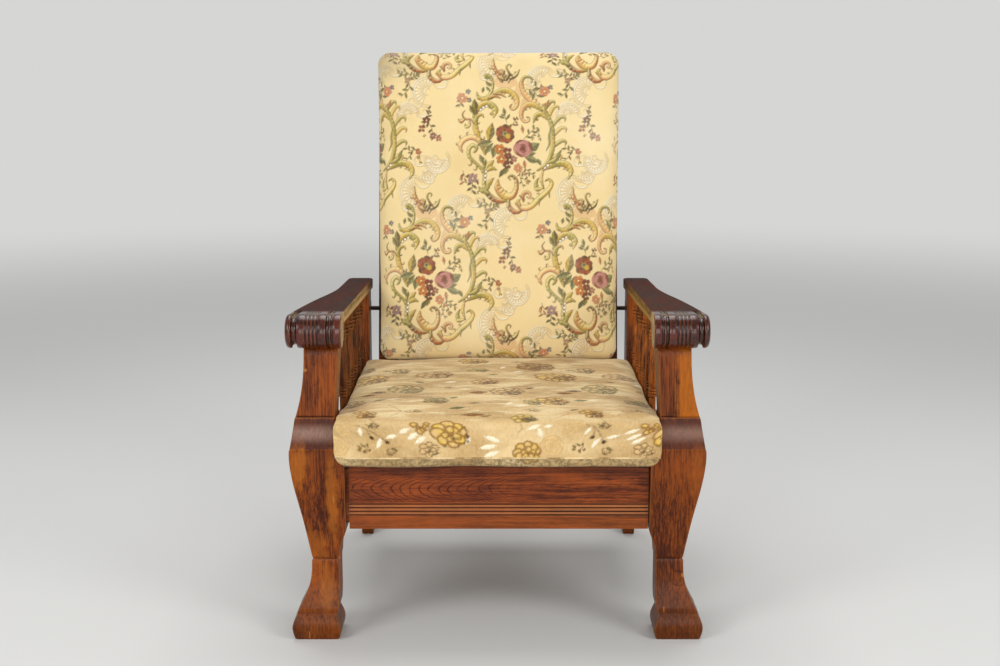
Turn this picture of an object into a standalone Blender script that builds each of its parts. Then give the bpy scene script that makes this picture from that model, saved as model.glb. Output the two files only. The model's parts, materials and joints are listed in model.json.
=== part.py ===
"""An old oak reclining armchair with a loose seat cushion and a loose back cushion.

Units are metres and +Z is up. The front faces -Y. Heights start at the floor and depths at the knees of the
front legs. At the end the whole chair is moved so that the origin lies at the middle of its footprint.
"""

import math

import bmesh
import bpy
from mathutils import Vector

# Overall sizes
ROLL_SPAN = 0.780  # outer end of one arm roll to outer end of the other
SEAT_CLEAR = 0.582  # between the side rails, and between the rear legs
REAR_LEG_FRONT = 0.635  # depth of the rear legs' front faces
GAP = 0.0003  # between pieces that touch
FIT = 0.0004  # round a tenon or a pin in its hole
SPARE = 0.010  # how far a cutter reaches past what it cuts

# Front legs
LEG_DEPTH = 0.090
KNEE_HALF = ROLL_SPAN / 2  # middle of the chair to the outer side of the knee
KNEE_TOP = 0.3735
LEG_INNER = SEAT_CLEAR / 2 - 0.0045  # middle of the chair to the leg's inner face at the front rail

# Arms and their rolls
ROLL_RADIUS = 0.032
ROLL_HEIGHT = 0.5965  # the roll's axis above the floor
ROLL_SETBACK = 0.012  # the roll's axis behind the knees
ARM_INNER = SEAT_CLEAR / 2 - 0.004
ARM_REAR_OUTER = SEAT_CLEAR / 2 + 0.054
ARM_THICKNESS = 0.022
ARM_REAR_END = REAR_LEG_FRONT + 0.083
ARM_SLOPE = math.radians(2.75)  # the arms drop towards the back
ROLL_SIDES = 28
ROLL_BEVEL = 0.0045
HOLLOW_FIT = 0.0006  # round the roll in the hollow of the front leg's top
LEG_BELOW_ARM = 0.004  # the front leg's rear corner below the arm
DOWEL_RADIUS = 0.007  # of the round tenons on the legs' tops
DOWEL_IN_ARM = 0.012
DOWEL_ROOT = 0.030
DOWEL_INSET = 0.022  # its axis ahead of the leg's rear face

# Rails
FRONT_RAIL_TOP = 0.343
FRONT_RAIL_BOTTOM = 0.214
FRONT_RAIL_THICKNESS = 0.022
FRONT_RAIL_SETBACK = 0.020
FRONT_RAIL_SHRINKAGE = 0.004  # the joints have opened by this much at each end
FRONT_RAIL_SHIFT = 0.002  # and the rail stands nearer to the right leg
REED_LOWEST = 0.0276  # the lowest of the rail's grooves above its bottom edge
REED_PITCH = 0.0071
REED_COUNT = 4
REED_RADIUS = 0.0014
SIDE_RAIL_TOP = 0.400
SIDE_RAIL_BOTTOM = 0.255
SIDE_THICKNESS = 0.026  # of the side rails and the rear legs
REAR_RAIL_TOP = 0.296
REAR_RAIL_BOTTOM = 0.216
REAR_RAIL_THICKNESS = 0.022
REAR_RAIL_SETBACK = 0.006  # behind the rear legs' front faces
TENON_LENGTH = 0.022
TENON_THICKNESS = 0.010
TENON_SHOULDER = 0.012  # rail left above and below each tenon
TENON_ROOT = 0.004  # how far a tenon starts inside its own rail
REAR_STUB = 0.009  # the side rails' rear tenons, which stop short of the rear rail's
REAR_TENON = 0.016  # the rear rail's tenons

# Rear legs
REAR_LEG_DEPTH = 0.065
REAR_LEG_RAKE = 0.025  # how far the feet stand behind the legs' upper part
RAKE_TOP = 0.235

# Spindles
SPINDLES = 6
SPINDLE_TENON = 0.010
SPINDLE_TENON_RADIUS = 0.0045
SPINDLE_FOOT = 0.0065
SPINDLE_RING = 0.0085
SPINDLE_SWELL = 0.0087
SPINDLE_NECK = 0.0050

# What carries the seat cushion
SLAT_TOP = FRONT_RAIL_TOP
SLAT_THICKNESS = 0.014
SLAT_WIDTH = 0.056
SLAT_SLACK = 0.0015  # between a slat's end and the side rail
SLATS = 5
FIRST_SLAT = 0.012  # its front edge behind the front legs
LAST_SLAT = 0.075  # its middle ahead of the rear legs
CLEAT_SIZE = 0.020
BLOCK_LEG = 0.044
BLOCK_HEIGHT = 0.070
BLOCK_RAISE = 0.006  # above the rail's lower edge

# Cushions
SEAT_CUSHION_WIDTH = SEAT_CLEAR - 0.011
SEAT_CUSHION_FRONT = -0.018
SEAT_CUSHION_LENGTH = REAR_LEG_FRONT - 0.033
SEAT_CUSHION_THICKNESS = 0.094
SEAT_CUSHION_EDGE = 0.022
BACK_CUSHION_WIDTH = SEAT_CLEAR - 0.052
BACK_CUSHION_LENGTH = 0.675
BACK_CUSHION_THICKNESS = 0.100
BACK_CUSHION_EDGE = 0.020
BACK_CUSHION_START = 0.0850  # from the pivot along the back

# Reclining back, in a frame whose origin is its pivot: Y points away from the cushion and Z up along the back
RECLINE_AT_REST = math.radians(12)
PIVOT_HEIGHT = 0.333
BACK_WIDTH = SEAT_CLEAR - 0.038
STILE_WIDTH = 0.040
STILE_THICKNESS = 0.025
STILE_BEHIND_PIVOT = 0.006  # the stile's rear face behind the pivot
STILE_FOOT = 0.020  # stile below the pivot
STILE_TOP = 0.752
BACK_RAIL_HEIGHT = 0.052
BACK_RAIL_THICKNESS = 0.020
BACK_BOTTOM_RAIL = 0.024  # its lower edge above the pivot
BACK_RAIL_SHOULDER = 0.008  # rail left above and below its tenons
STILE_HORN = 0.008  # stile above the top rail
BACK_SLATS = 4
BACK_SLAT_HEIGHT = 0.038
BACK_SLAT_THICKNESS = 0.010
BACK_SLAT_TENON = 0.010
BACK_SLAT_SETBACK = 0.003  # behind the stiles' front faces
PIN_RADIUS = 0.005
PIN_IN_LEG = 0.019
PIN_HEAD_RADIUS = 0.009
PIN_HEAD_THICKNESS = 0.004
SPACER_RADIUS = 0.0095

# Support rod and its racks
ROD_RADIUS = 0.005
ROD_BEHIND_LEGS = 0.0065  # between the rod and the rear legs
ROD_HEIGHT = 0.5255
ROD_OVERHANG = 0.007  # rod beyond the middle of each rack
ROD_LIFT = 0.010  # how high the rod rises on its way to the last notch
NOTCHES = 4
NOTCH_PITCH = 0.033
NOTCH_FIT = 0.0004
TOOTH_HEIGHT = 0.0049
RACK_THICKNESS = 0.006
RACK_HEIGHT = 0.026  # from its lower edge to the rod's axis
RACK_TAIL = 0.014
RACK_CHAMFER = (0.024, 0.012)  # cut off the tail's lower corner, along and up
FLANGE_THICKNESS = 0.004  # of the plate that holds the rack to the leg's rear face
FLANGE_WIDTH = 0.022
FLANGE_ABOVE = 0.026  # above the rod's axis
FLANGE_BELOW = 0.020  # below the rack
SCREW_INSET = 0.009
SCREW_RADIUS = 0.002
SCREW_HEAD_RADIUS = 0.0042
SCREW_HEAD_HEIGHT = 0.0024
SCREW_LENGTH = 0.022

# Places that follow from the sizes above
SIDE_INNER = SEAT_CLEAR / 2
SIDE_MIDDLE = SIDE_INNER + SIDE_THICKNESS / 2
LEG_MIDDLE = (LEG_INNER + KNEE_HALF) / 2 - 0.008  # of the front leg's narrower upper part
BACK_STILE_INNER = BACK_WIDTH / 2 - STILE_WIDTH
TOP_RAIL = STILE_TOP - STILE_HORN - BACK_RAIL_HEIGHT  # its lower edge above the pivot
ROD_STANDOFF = STILE_BEHIND_PIVOT + ROD_RADIUS + GAP
ROD_ABOVE_PIVOT = ROD_HEIGHT - PIVOT_HEIGHT
ROD_BEHIND_PIVOT = (
    ROD_STANDOFF + ROD_ABOVE_PIVOT * math.sin(RECLINE_AT_REST)
) / math.cos(RECLINE_AT_REST)
PIVOT_SETBACK = round(
    REAR_LEG_DEPTH + ROD_BEHIND_LEGS + ROD_RADIUS - ROD_BEHIND_PIVOT, 4
)  # behind the rear legs' front faces
PIVOT_DEPTH = REAR_LEG_FRONT + PIVOT_SETBACK
ROD_DEPTH = PIVOT_DEPTH + ROD_BEHIND_PIVOT
ROD_TRAVEL = (NOTCHES - 1) * NOTCH_PITCH
SWING_RADIUS = ((ROD_TRAVEL / 2) ** 2 + ROD_LIFT**2) / (2 * ROD_LIFT)
SWING_DEPTH = ROD_DEPTH + ROD_TRAVEL / 2
SWING_HEIGHT = ROD_HEIGHT + ROD_LIFT - SWING_RADIUS
HALF_SWING = math.asin(ROD_TRAVEL / 2 / SWING_RADIUS)
NOTCH_RADIUS = ROD_RADIUS + NOTCH_FIT
RACK_CREST = ROD_HEIGHT - ROD_RADIUS + TOOTH_HEIGHT

CHAIR = "reclining_armchair"
CUTTERS = "cutters"
SIDES = (("left", -1), ("right", 1))


def clear_scene():
    for obj in list(bpy.data.objects):
        bpy.data.objects.remove(obj)


def new_collection(name, hidden=False):
    collection = bpy.data.collections.new(name)
    bpy.context.scene.collection.children.link(collection)
    collection.hide_render = hidden
    return collection


def material(name, colour, roughness, metallic=0.0):
    """The named material, made on first use."""
    made = bpy.data.materials.get(name)
    if made is None:
        made = bpy.data.materials.new(name)
        made.use_nodes = True
        shader = made.node_tree.nodes["Principled BSDF"]
        shader.inputs["Base Color"].default_value = (*colour, 1)
        shader.inputs["Roughness"].default_value = roughness
        shader.inputs["Metallic"].default_value = metallic
    return made


def leg_wood():
    return material("stained_oak_legs", (0.22, 0.07, 0.02), 0.4)


def rail_wood():
    return material("stained_oak_rails", (0.17, 0.06, 0.03), 0.45)


def arm_wood():
    return material("dark_oak_arms", (0.07, 0.03, 0.02), 0.35)


def spindle_wood():
    return material("turned_oak_spindles", (0.16, 0.06, 0.025), 0.4)


def hidden_wood():
    return material("plain_oak_inside", (0.28, 0.17, 0.09), 0.7)


def black_iron():
    return material("black_iron", (0.02, 0.02, 0.02), 0.5, 0.9)


def velour():
    return material("worn_velour", (0.62, 0.50, 0.31), 0.9)


def tapestry():
    return material("floral_tapestry", (0.72, 0.60, 0.38), 0.9)


def place(obj, collection, parent, finish):
    """Links a finished object, parents it without moving it and gives it its material."""
    bpy.data.collections[collection].objects.link(obj)
    obj.parent = parent
    if finish is not None:
        obj.data.materials.clear()
        obj.data.materials.append(finish)
    if collection == CUTTERS:
        obj.hide_render = True
        obj.display_type = "WIRE"
    return obj


def ordered(low, high):
    """Two opposite corners of a box, the one with the lower values first."""
    return Vector(map(min, low, high)), Vector(map(max, low, high))


def grown(low, high, by):
    """The corners of a box made larger by the same amount on every side."""
    low, high = ordered(low, high)
    more = Vector((by, by, by))
    return low - more, high + more


def box(name, low, high, parent, finish=None, collection=CHAIR):
    """A plain block between two opposite corners."""
    low, high = ordered(low, high)
    mesh = bpy.data.meshes.new(name)
    shape = bmesh.new()
    bmesh.ops.create_cube(shape, size=1)
    bmesh.ops.scale(shape, vec=high - low, verts=shape.verts)
    bmesh.ops.translate(shape, vec=(low + high) / 2, verts=shape.verts)
    shape.to_mesh(mesh)
    shape.free()
    return place(bpy.data.objects.new(name, mesh), collection, parent, finish)


def cutter_box(name, low, high, parent):
    return box(name, low, high, parent, collection=CUTTERS)


def cylinder(name, start, end, radius, sides, parent, finish=None, collection=CHAIR):
    """A round bar from start to end."""
    start, end = Vector(start), Vector(end)
    mesh = bpy.data.meshes.new(name)
    shape = bmesh.new()
    bmesh.ops.create_cone(
        shape,
        cap_ends=True,
        segments=sides,
        radius1=radius,
        radius2=radius,
        depth=(end - start).length,
    )
    turn = (end - start).to_track_quat("Z", "Y").to_matrix()
    bmesh.ops.rotate(shape, matrix=turn, verts=shape.verts)
    bmesh.ops.translate(shape, vec=(start + end) / 2, verts=shape.verts)
    shape.to_mesh(mesh)
    shape.free()
    mesh.shade_smooth()
    mesh.set_sharp_from_angle(angle=math.radians(40))
    return place(bpy.data.objects.new(name, mesh), collection, parent, finish)


def cutter_cylinder(name, start, end, radius, sides, parent):
    return cylinder(name, start, end, radius, sides, parent, collection=CUTTERS)


def bevel(obj, width, segments=2, angle=40):
    edge = obj.modifiers.new("rounded edges", "BEVEL")
    edge.width = width
    edge.segments = segments
    edge.limit_method = "ANGLE"
    edge.angle_limit = math.radians(angle)
    return obj


def boolean(obj, other, operation):
    step = obj.modifiers.new(f"{operation.lower()} {other.name}", "BOOLEAN")
    step.operation = operation
    step.solver = "EXACT"
    step.object = other


def cut(obj, *cutters):
    for cutter in cutters:
        boolean(obj, cutter, "DIFFERENCE")
    return obj


def join(obj, *others):
    for other in others:
        boolean(obj, other, "UNION")
    return obj


def flat_outline(points):
    """A 2D curve through (across, up, corner) points; a corner is sharp, and the rest run smoothly."""
    curve = bpy.data.curves.new("outline", "CURVE")
    curve.dimensions = "2D"
    curve.fill_mode = "BOTH"
    curve.resolution_u = 4
    spline = curve.splines.new("BEZIER")
    spline.bezier_points.add(len(points) - 1)
    for point, (across, up, corner) in zip(spline.bezier_points, points):
        point.co = (across, up, 0)
        kind = "VECTOR" if corner else "AUTO"
        point.handle_left_type = kind
        point.handle_right_type = kind
    spline.use_cyclic_u = True
    return curve


def plank(name, points, thickness, turn, middle, parent, finish=None, collection=CHAIR):
    """A board sawn to an outline: the extruded curve made a mesh, with its caps welded."""
    curve = flat_outline(points)
    curve.extrude = thickness / 2
    guide = bpy.data.objects.new("outline", curve)
    bpy.context.scene.collection.objects.link(guide)
    guide.rotation_euler = turn
    guide.location = middle
    bpy.context.view_layer.update()
    graph = bpy.context.evaluated_depsgraph_get()
    mesh = bpy.data.meshes.new_from_object(guide.evaluated_get(graph))
    mesh.transform(guide.matrix_world)
    bpy.data.objects.remove(guide)
    shape = bmesh.new()
    shape.from_mesh(mesh)
    bmesh.ops.remove_doubles(shape, verts=shape.verts, dist=0.00001)
    bmesh.ops.recalc_face_normals(shape, faces=shape.faces)
    shape.to_mesh(mesh)
    shape.free()
    mesh.name = name
    mesh.set_sharp_from_angle(angle=math.radians(35))
    return place(bpy.data.objects.new(name, mesh), collection, parent, finish)


# How a flat outline is turned to face the front, the side and the top
FACING_FRONT = (math.pi / 2, 0, 0)
FACING_SIDE = (math.pi / 2, 0, math.pi / 2)
FACING_UP = (0, 0, 0)


def turned(name, profile, steps, parent, finish, place_at, turn=(0, 0, 0)):
    """A lathe shape from (radius, height) points that run from its top to its bottom."""
    mesh = bpy.data.meshes.new(name)
    shape = bmesh.new()
    corners = [shape.verts.new((radius, 0, height)) for radius, height in profile]
    for upper, lower in zip(corners, corners[1:]):
        shape.edges.new((upper, lower))
    shape.to_mesh(mesh)
    shape.free()
    obj = bpy.data.objects.new(name, mesh)
    lathe = obj.modifiers.new("lathe", "SCREW")
    lathe.steps = steps
    lathe.render_steps = steps
    lathe.use_merge_vertices = True
    lathe.merge_threshold = 0.00005
    lathe.use_smooth_shade = True
    obj.rotation_euler = turn
    obj.location = place_at
    return place(obj, CHAIR, parent, finish)


def tube_cutter(name, path, radius, parent):
    """A round groove cutter that follows a path."""
    curve = bpy.data.curves.new(name, "CURVE")
    curve.dimensions = "3D"
    curve.bevel_depth = radius
    curve.bevel_resolution = 1
    curve.use_fill_caps = True
    spline = curve.splines.new("POLY")
    spline.points.add(len(path) - 1)
    for point, place_on_path in zip(spline.points, path):
        point.co = (*place_on_path, 1)
    guide = bpy.data.objects.new(name, curve)
    bpy.context.scene.collection.objects.link(guide)
    bpy.context.view_layer.update()
    graph = bpy.context.evaluated_depsgraph_get()
    mesh = bpy.data.meshes.new_from_object(guide.evaluated_get(graph))
    bpy.data.objects.remove(guide)
    shape = bmesh.new()
    shape.from_mesh(mesh)
    bmesh.ops.remove_doubles(shape, verts=shape.verts, dist=0.00001)
    bmesh.ops.recalc_face_normals(shape, faces=shape.faces)
    shape.to_mesh(mesh)
    shape.free()
    return place(bpy.data.objects.new(name, mesh), CUTTERS, parent, None)


def tenon(rail, socket_piece, name, low, high, into, parent):
    """Joins a tenon to a rail and cuts its mortise; into points from the rail into the other piece."""
    low, high = ordered(low, high)
    reach_low, reach_high = grown(low, high, FIT)
    for axis in range(3):
        if into[axis] > 0:
            low[axis] -= TENON_ROOT
            reach_low[axis] -= TENON_ROOT
        elif into[axis] < 0:
            high[axis] += TENON_ROOT
            reach_high[axis] += TENON_ROOT
    join(rail, box(f"{name}_tenon", low, high, parent, collection=CUTTERS))
    cut(socket_piece, cutter_box(f"{name}_mortise", reach_low, reach_high, parent))


def front_leg_outline(side):
    """The leg seen from the front, from the top of its outer side down to the foot and up its inner side."""
    upper = LEG_TOP
    shoulder_top = KNEE_TOP + 0.0585
    points = [
        (KNEE_HALF - 0.0285, upper, True),
        (KNEE_HALF - 0.0290, upper - 0.070, False),
        (KNEE_HALF - 0.0205, upper - 0.136, False),
        (KNEE_HALF - 0.0120, shoulder_top, True),
        (KNEE_HALF - 0.0105, shoulder_top - 0.004, True),
        (KNEE_HALF - 0.0072, KNEE_TOP + 0.033, False),
        (KNEE_HALF - 0.0020, KNEE_TOP + 0.001, True),
        (KNEE_HALF, KNEE_TOP - 0.005, False),
        (KNEE_HALF - 0.0008, KNEE_TOP - 0.030, False),
        (KNEE_HALF - 0.0052, KNEE_TOP - 0.062, False),
        (KNEE_HALF - 0.0230, KNEE_TOP - 0.142, False),
        (KNEE_HALF - 0.0370, KNEE_TOP - 0.214, True),
        (KNEE_HALF - 0.0385, KNEE_TOP - 0.2185, True),
        (KNEE_HALF - 0.0365, KNEE_TOP - 0.223, True),
        (KNEE_HALF - 0.0345, KNEE_TOP - 0.258, False),
        (KNEE_HALF - 0.0210, KNEE_TOP - 0.297, False),
        (KNEE_HALF - 0.0090, 0.0535, True),
        (KNEE_HALF - 0.0085, 0.0480, True),
        (KNEE_HALF + 0.0020, 0.0290, False),
        (KNEE_HALF - 0.0010, 0.0110, False),
        (KNEE_HALF - 0.0045, 0.0, True),
        (LEG_INNER + 0.0160, 0.0, True),
        (LEG_INNER + 0.0110, 0.0130, False),
        (LEG_INNER + 0.0110, 0.0260, False),
        (LEG_INNER + 0.0215, 0.0460, True),
        (LEG_INNER + 0.0170, 0.0560, False),
        (LEG_INNER + 0.0150, 0.0700, False),
        (LEG_INNER + 0.0140, KNEE_TOP - 0.2230, True),
        (LEG_INNER + 0.0140, KNEE_TOP - 0.2185, True),
        (LEG_INNER + 0.0125, KNEE_TOP - 0.2140, True),
        (LEG_INNER + 0.0090, KNEE_TOP - 0.1810, False),
        (LEG_INNER + 0.0010, FRONT_RAIL_BOTTOM - 0.010, False),
        (LEG_INNER, FRONT_RAIL_BOTTOM, True),
        (LEG_INNER, FRONT_RAIL_TOP, True),
        (LEG_INNER + 0.0020, KNEE_TOP, False),
        (LEG_INNER + 0.0170, shoulder_top - 0.004, True),
        (LEG_INNER + 0.0178, shoulder_top, True),
        (LEG_INNER + 0.0135, upper - 0.090, False),
        (LEG_INNER + 0.0065, upper, True),
    ]
    return [(side * across, up, corner) for across, up, corner in points]


def front_leg_side():
    """The leg seen from its side: across is the depth behind the knee."""
    back = LEG_DEPTH
    return [
        (0.0200, LEG_TOP, True),
        (0.0185, KNEE_TOP + 0.0590, True),
        (0.0150, KNEE_TOP + 0.0580, True),
        (0.0145, KNEE_TOP + 0.0545, True),
        (0.0105, KNEE_TOP + 0.0350, False),
        (0.0035, KNEE_TOP + 0.0120, False),
        (-0.0010, KNEE_TOP, True),
        (0.0000, KNEE_TOP - 0.0040, True),
        (0.0010, KNEE_TOP - 0.0450, False),
        (0.0120, KNEE_TOP - 0.1350, False),
        (0.0200, KNEE_TOP - 0.2140, True),
        (0.0230, KNEE_TOP - 0.2185, True),
        (0.0215, KNEE_TOP - 0.2230, True),
        (0.0185, 0.1050, False),
        (0.0060, 0.0600, True),
        (0.0065, 0.0520, True),
        (-0.0030, 0.0310, False),
        (-0.0010, 0.0110, False),
        (0.0030, 0.0, True),
        (back - 0.006, 0.0, True),
        (back - 0.002, 0.0250, False),
        (back - 0.010, 0.0560, False),
        (back - 0.018, 0.1400, False),
        (back - 0.004, 0.2250, False),
        (back, SIDE_RAIL_BOTTOM - 0.010, True),
        (back, LEG_TOP, True),
    ]


def arm_underside(depth):
    """Height of the sloping arm's underside at a depth."""
    run = depth - ROLL_SETBACK
    below_axis = (ROLL_RADIUS - ARM_THICKNESS) / math.cos(ARM_SLOPE)
    return ROLL_HEIGHT - run * math.tan(ARM_SLOPE) + below_axis


LEG_TOP = arm_underside(LEG_DEPTH) - LEG_BELOW_ARM


def front_leg(name, side, parent):
    leg = plank(
        name,
        front_leg_outline(side),
        LEG_DEPTH + SPARE,
        FACING_FRONT,
        (0, LEG_DEPTH / 2, 0),
        parent,
        leg_wood(),
    )
    width = KNEE_HALF - LEG_INNER + 2 * SPARE
    middle = side * (KNEE_HALF + LEG_INNER) / 2
    profile = plank(
        f"{name}_side_profile",
        front_leg_side(),
        width,
        FACING_SIDE,
        (middle, 0, 0),
        parent,
        collection=CUTTERS,
    )
    boolean(leg, profile, "INTERSECT")
    hollow = cutter_cylinder(
        f"{name}_roll_hollow",
        (side * (ARM_INNER - SPARE), ROLL_SETBACK, ROLL_HEIGHT),
        (side * (KNEE_HALF + SPARE), ROLL_SETBACK, ROLL_HEIGHT),
        ROLL_RADIUS + HOLLOW_FIT,
        ROLL_SIDES,
        parent,
    )
    return cut(leg, hollow)


def arm_outline(side):
    """The arm seen from above: across from the chair's middle, and how far behind the roll's axis."""
    end = (ARM_REAR_END - ROLL_SETBACK) / math.cos(ARM_SLOPE)
    outer = ROLL_SPAN / 2
    rear = ARM_REAR_OUTER
    points = [
        (ARM_INNER, 0, True),
        (outer - 0.0005, 0, True),
        (outer - 0.0045, 0.060, False),
        (outer - 0.0135, 0.165, False),
        (outer - 0.0250, 0.272, False),
        (rear + 0.0095, 0.352, False),
        (rear + 0.0010, 0.450, False),
        (rear, 0.560, False),
        (rear, end - 0.016, True),
        (rear - 0.0035, end - 0.005, False),
        (rear - 0.0140, end, True),
        (ARM_INNER + 0.0140, end, True),
        (ARM_INNER + 0.0035, end - 0.005, False),
        (ARM_INNER, end - 0.016, True),
    ]
    return [(side * across, along, corner) for across, along, corner in points]


# Grooves round each roll: distance from the roll's outer end, radius of the cut, depth, run back over the arm
ROLL_GROOVES = (
    (0.0165, 0.0056, 0.0062, 0.062),
    (0.0385, 0.0016, 0.0018, 0.040),
    (0.0455, 0.0016, 0.0018, 0.040),
    (0.0525, 0.0016, 0.0018, 0.040),
    (0.0595, 0.0016, 0.0018, 0.040),
    (0.0785, 0.0030, 0.0036, 0.050),
    (0.0865, 0.0022, 0.0024, 0.044),
)


def groove_path(across, radius, depth, run):
    """Over the arm's top, round the front of the roll (at negative Y) and back along its underside."""
    reach = ROLL_RADIUS + radius - depth
    path = [(across, run, ROLL_RADIUS + radius * 1.4)]
    path += [(across, run * 0.55, reach + depth * 0.35), (across, run * 0.2, reach)]
    turns = 12
    for step in range(turns + 1):
        angle = math.pi / 2 + math.radians(235) * step / turns
        path.append((across, reach * math.cos(angle), reach * math.sin(angle)))
    return path


def arm(name, side, parent):
    """The board and its roll, made level round the roll's axis and then tilted by the parent."""
    board = plank(
        name,
        arm_outline(side),
        ARM_THICKNESS,
        FACING_UP,
        (0, 0, ROLL_RADIUS - ARM_THICKNESS / 2),
        parent,
        arm_wood(),
    )
    roll = cutter_cylinder(
        f"{name}_roll",
        (side * ARM_INNER, 0, 0),
        (side * ROLL_SPAN / 2, 0, 0),
        ROLL_RADIUS,
        ROLL_SIDES,
        parent,
    )
    bevel(roll, ROLL_BEVEL, 3, 60)
    join(board, roll)
    for number, (inwards, radius, depth, run) in enumerate(ROLL_GROOVES, 1):
        across = side * (ROLL_SPAN / 2 - inwards)
        path = groove_path(across, radius, depth, run)
        cut(board, tube_cutter(f"{name}_groove_{number}", path, radius, parent))
    return board


def spindle_profile(length):
    """Radius and height of a turned spindle between its shoulders, from its upper tenon down."""
    top = length / 2
    bottom = -length / 2
    points = [(0, top + SPINDLE_TENON), (SPINDLE_TENON_RADIUS, top + SPINDLE_TENON)]
    points += [(SPINDLE_TENON_RADIUS, top), (SPINDLE_FOOT, top)]
    points += [(SPINDLE_FOOT, top - 0.026)]
    for ring in range(3):
        crest = top - 0.030 - ring * 0.0075
        points += [(SPINDLE_RING, crest), (SPINDLE_FOOT - 0.001, crest - 0.0038)]
    points += [(SPINDLE_NECK, top - 0.062), (0.0060, bottom + 0.118)]
    points += [(SPINDLE_SWELL, bottom + 0.072), (0.0070, bottom + 0.056)]
    for ring in range(3):
        crest = bottom + 0.052 - ring * 0.0060
        points += [(SPINDLE_RING, crest), (SPINDLE_FOOT, crest - 0.0030)]
    points += [(SPINDLE_FOOT, bottom), (SPINDLE_TENON_RADIUS, bottom)]
    points += [(SPINDLE_TENON_RADIUS, bottom - SPINDLE_TENON)]
    return points + [(0, bottom - SPINDLE_TENON)]


def spindle_depths():
    first, last = LEG_DEPTH, REAR_LEG_FRONT
    pitch = (last - first) / (SPINDLES + 1)
    return [first + pitch * number for number in range(1, SPINDLES + 1)]


def side_rail(name, side, parent):
    inner, outer = side * SIDE_INNER, side * (SIDE_INNER + SIDE_THICKNESS)
    low = (inner, LEG_DEPTH + GAP, SIDE_RAIL_BOTTOM)
    high = (outer, REAR_LEG_FRONT - GAP, SIDE_RAIL_TOP)
    return box(name, low, high, parent, rail_wood())


def rear_leg_outline():
    """The rear leg seen from its side, upright above and raked back towards the foot."""
    front, back = REAR_LEG_FRONT, REAR_LEG_FRONT + REAR_LEG_DEPTH
    slope = math.tan(ARM_SLOPE)
    top = arm_underside(front) - GAP
    return [
        (front, top, True),
        (front, RAKE_TOP, True),
        (front + REAR_LEG_RAKE * 0.30, RAKE_TOP * 0.60, False),
        (front + REAR_LEG_RAKE, 0.0, True),
        (back + REAR_LEG_RAKE - 0.008, 0.0, True),
        (back + REAR_LEG_RAKE * 0.30 - 0.003, RAKE_TOP * 0.60, False),
        (back, RAKE_TOP, True),
        (back, top - REAR_LEG_DEPTH * slope, True),
    ]


def rear_leg(name, side, parent):
    middle = (side * SIDE_MIDDLE, 0, 0)
    leg = plank(
        name, rear_leg_outline(), SIDE_THICKNESS, FACING_SIDE, middle, parent, leg_wood()
    )
    return bevel(leg, 0.002, 1, 60)


def front_rail(parent):
    half = LEG_INNER - FRONT_RAIL_SHRINKAGE
    face = FRONT_RAIL_SETBACK
    rail = box(
        "front_rail",
        (FRONT_RAIL_SHIFT - half, face, FRONT_RAIL_BOTTOM),
        (FRONT_RAIL_SHIFT + half, face + FRONT_RAIL_THICKNESS, FRONT_RAIL_TOP),
        parent,
        rail_wood(),
    )
    for number in range(REED_COUNT):
        height = FRONT_RAIL_BOTTOM + REED_LOWEST + number * REED_PITCH
        groove = cutter_cylinder(
            f"front_rail_groove_{number + 1}",
            (-half - 0.02, face - 0.0002, height),
            (half + 0.02, face - 0.0002, height),
            REED_RADIUS,
            8,
            parent,
        )
        cut(rail, groove)
    return rail


def rear_rail(parent):
    front = REAR_LEG_FRONT + REAR_RAIL_SETBACK
    half = SIDE_INNER - GAP
    low = (-half, front, REAR_RAIL_BOTTOM)
    high = (half, front + REAR_RAIL_THICKNESS, REAR_RAIL_TOP)
    return box("rear_rail", low, high, parent, hidden_wood())


def frame_tenons(legs, rails, parent):
    """Tenons of the front, side and rear rails, with their mortises."""
    half = TENON_THICKNESS / 2
    for side_name, side in SIDES:
        front_leg_piece = legs[f"front_{side_name}"]
        rear_leg_piece = legs[f"rear_{side_name}"]
        side_piece = rails[side_name]
        low_z, high_z = SIDE_RAIL_BOTTOM + TENON_SHOULDER, SIDE_RAIL_TOP - TENON_SHOULDER
        low_x, high_x = side * SIDE_MIDDLE - half, side * SIDE_MIDDLE + half
        face = LEG_DEPTH + GAP
        tenon(
            side_piece,
            front_leg_piece,
            f"side_rail_{side_name}_front",
            (low_x, face - TENON_LENGTH, low_z),
            (high_x, face, high_z),
            (0, -1, 0),
            parent,
        )
        face = REAR_LEG_FRONT - GAP
        tenon(
            side_piece,
            rear_leg_piece,
            f"side_rail_{side_name}_rear",
            (low_x, face, low_z),
            (high_x, face + REAR_STUB, high_z),
            (0, 1, 0),
            parent,
        )
        end = side * (LEG_INNER - FRONT_RAIL_SHRINKAGE) + FRONT_RAIL_SHIFT
        middle = FRONT_RAIL_SETBACK + FRONT_RAIL_THICKNESS / 2
        tenon(
            rails["front"],
            front_leg_piece,
            f"front_rail_{side_name}",
            (end, middle - half, FRONT_RAIL_BOTTOM + TENON_SHOULDER),
            (side * (LEG_INNER + TENON_LENGTH), middle + half, FRONT_RAIL_TOP - TENON_SHOULDER),
            (side, 0, 0),
            parent,
        )
        middle = REAR_LEG_FRONT + REAR_RAIL_SETBACK + REAR_RAIL_THICKNESS / 2
        tenon(
            rails["rear"],
            rear_leg_piece,
            f"rear_rail_{side_name}",
            (side * (SIDE_INNER - GAP), middle - half, REAR_RAIL_BOTTOM + TENON_SHOULDER),
            (side * (SIDE_INNER + REAR_TENON), middle + half, REAR_RAIL_TOP - TENON_SHOULDER),
            (side, 0, 0),
            parent,
        )


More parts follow.
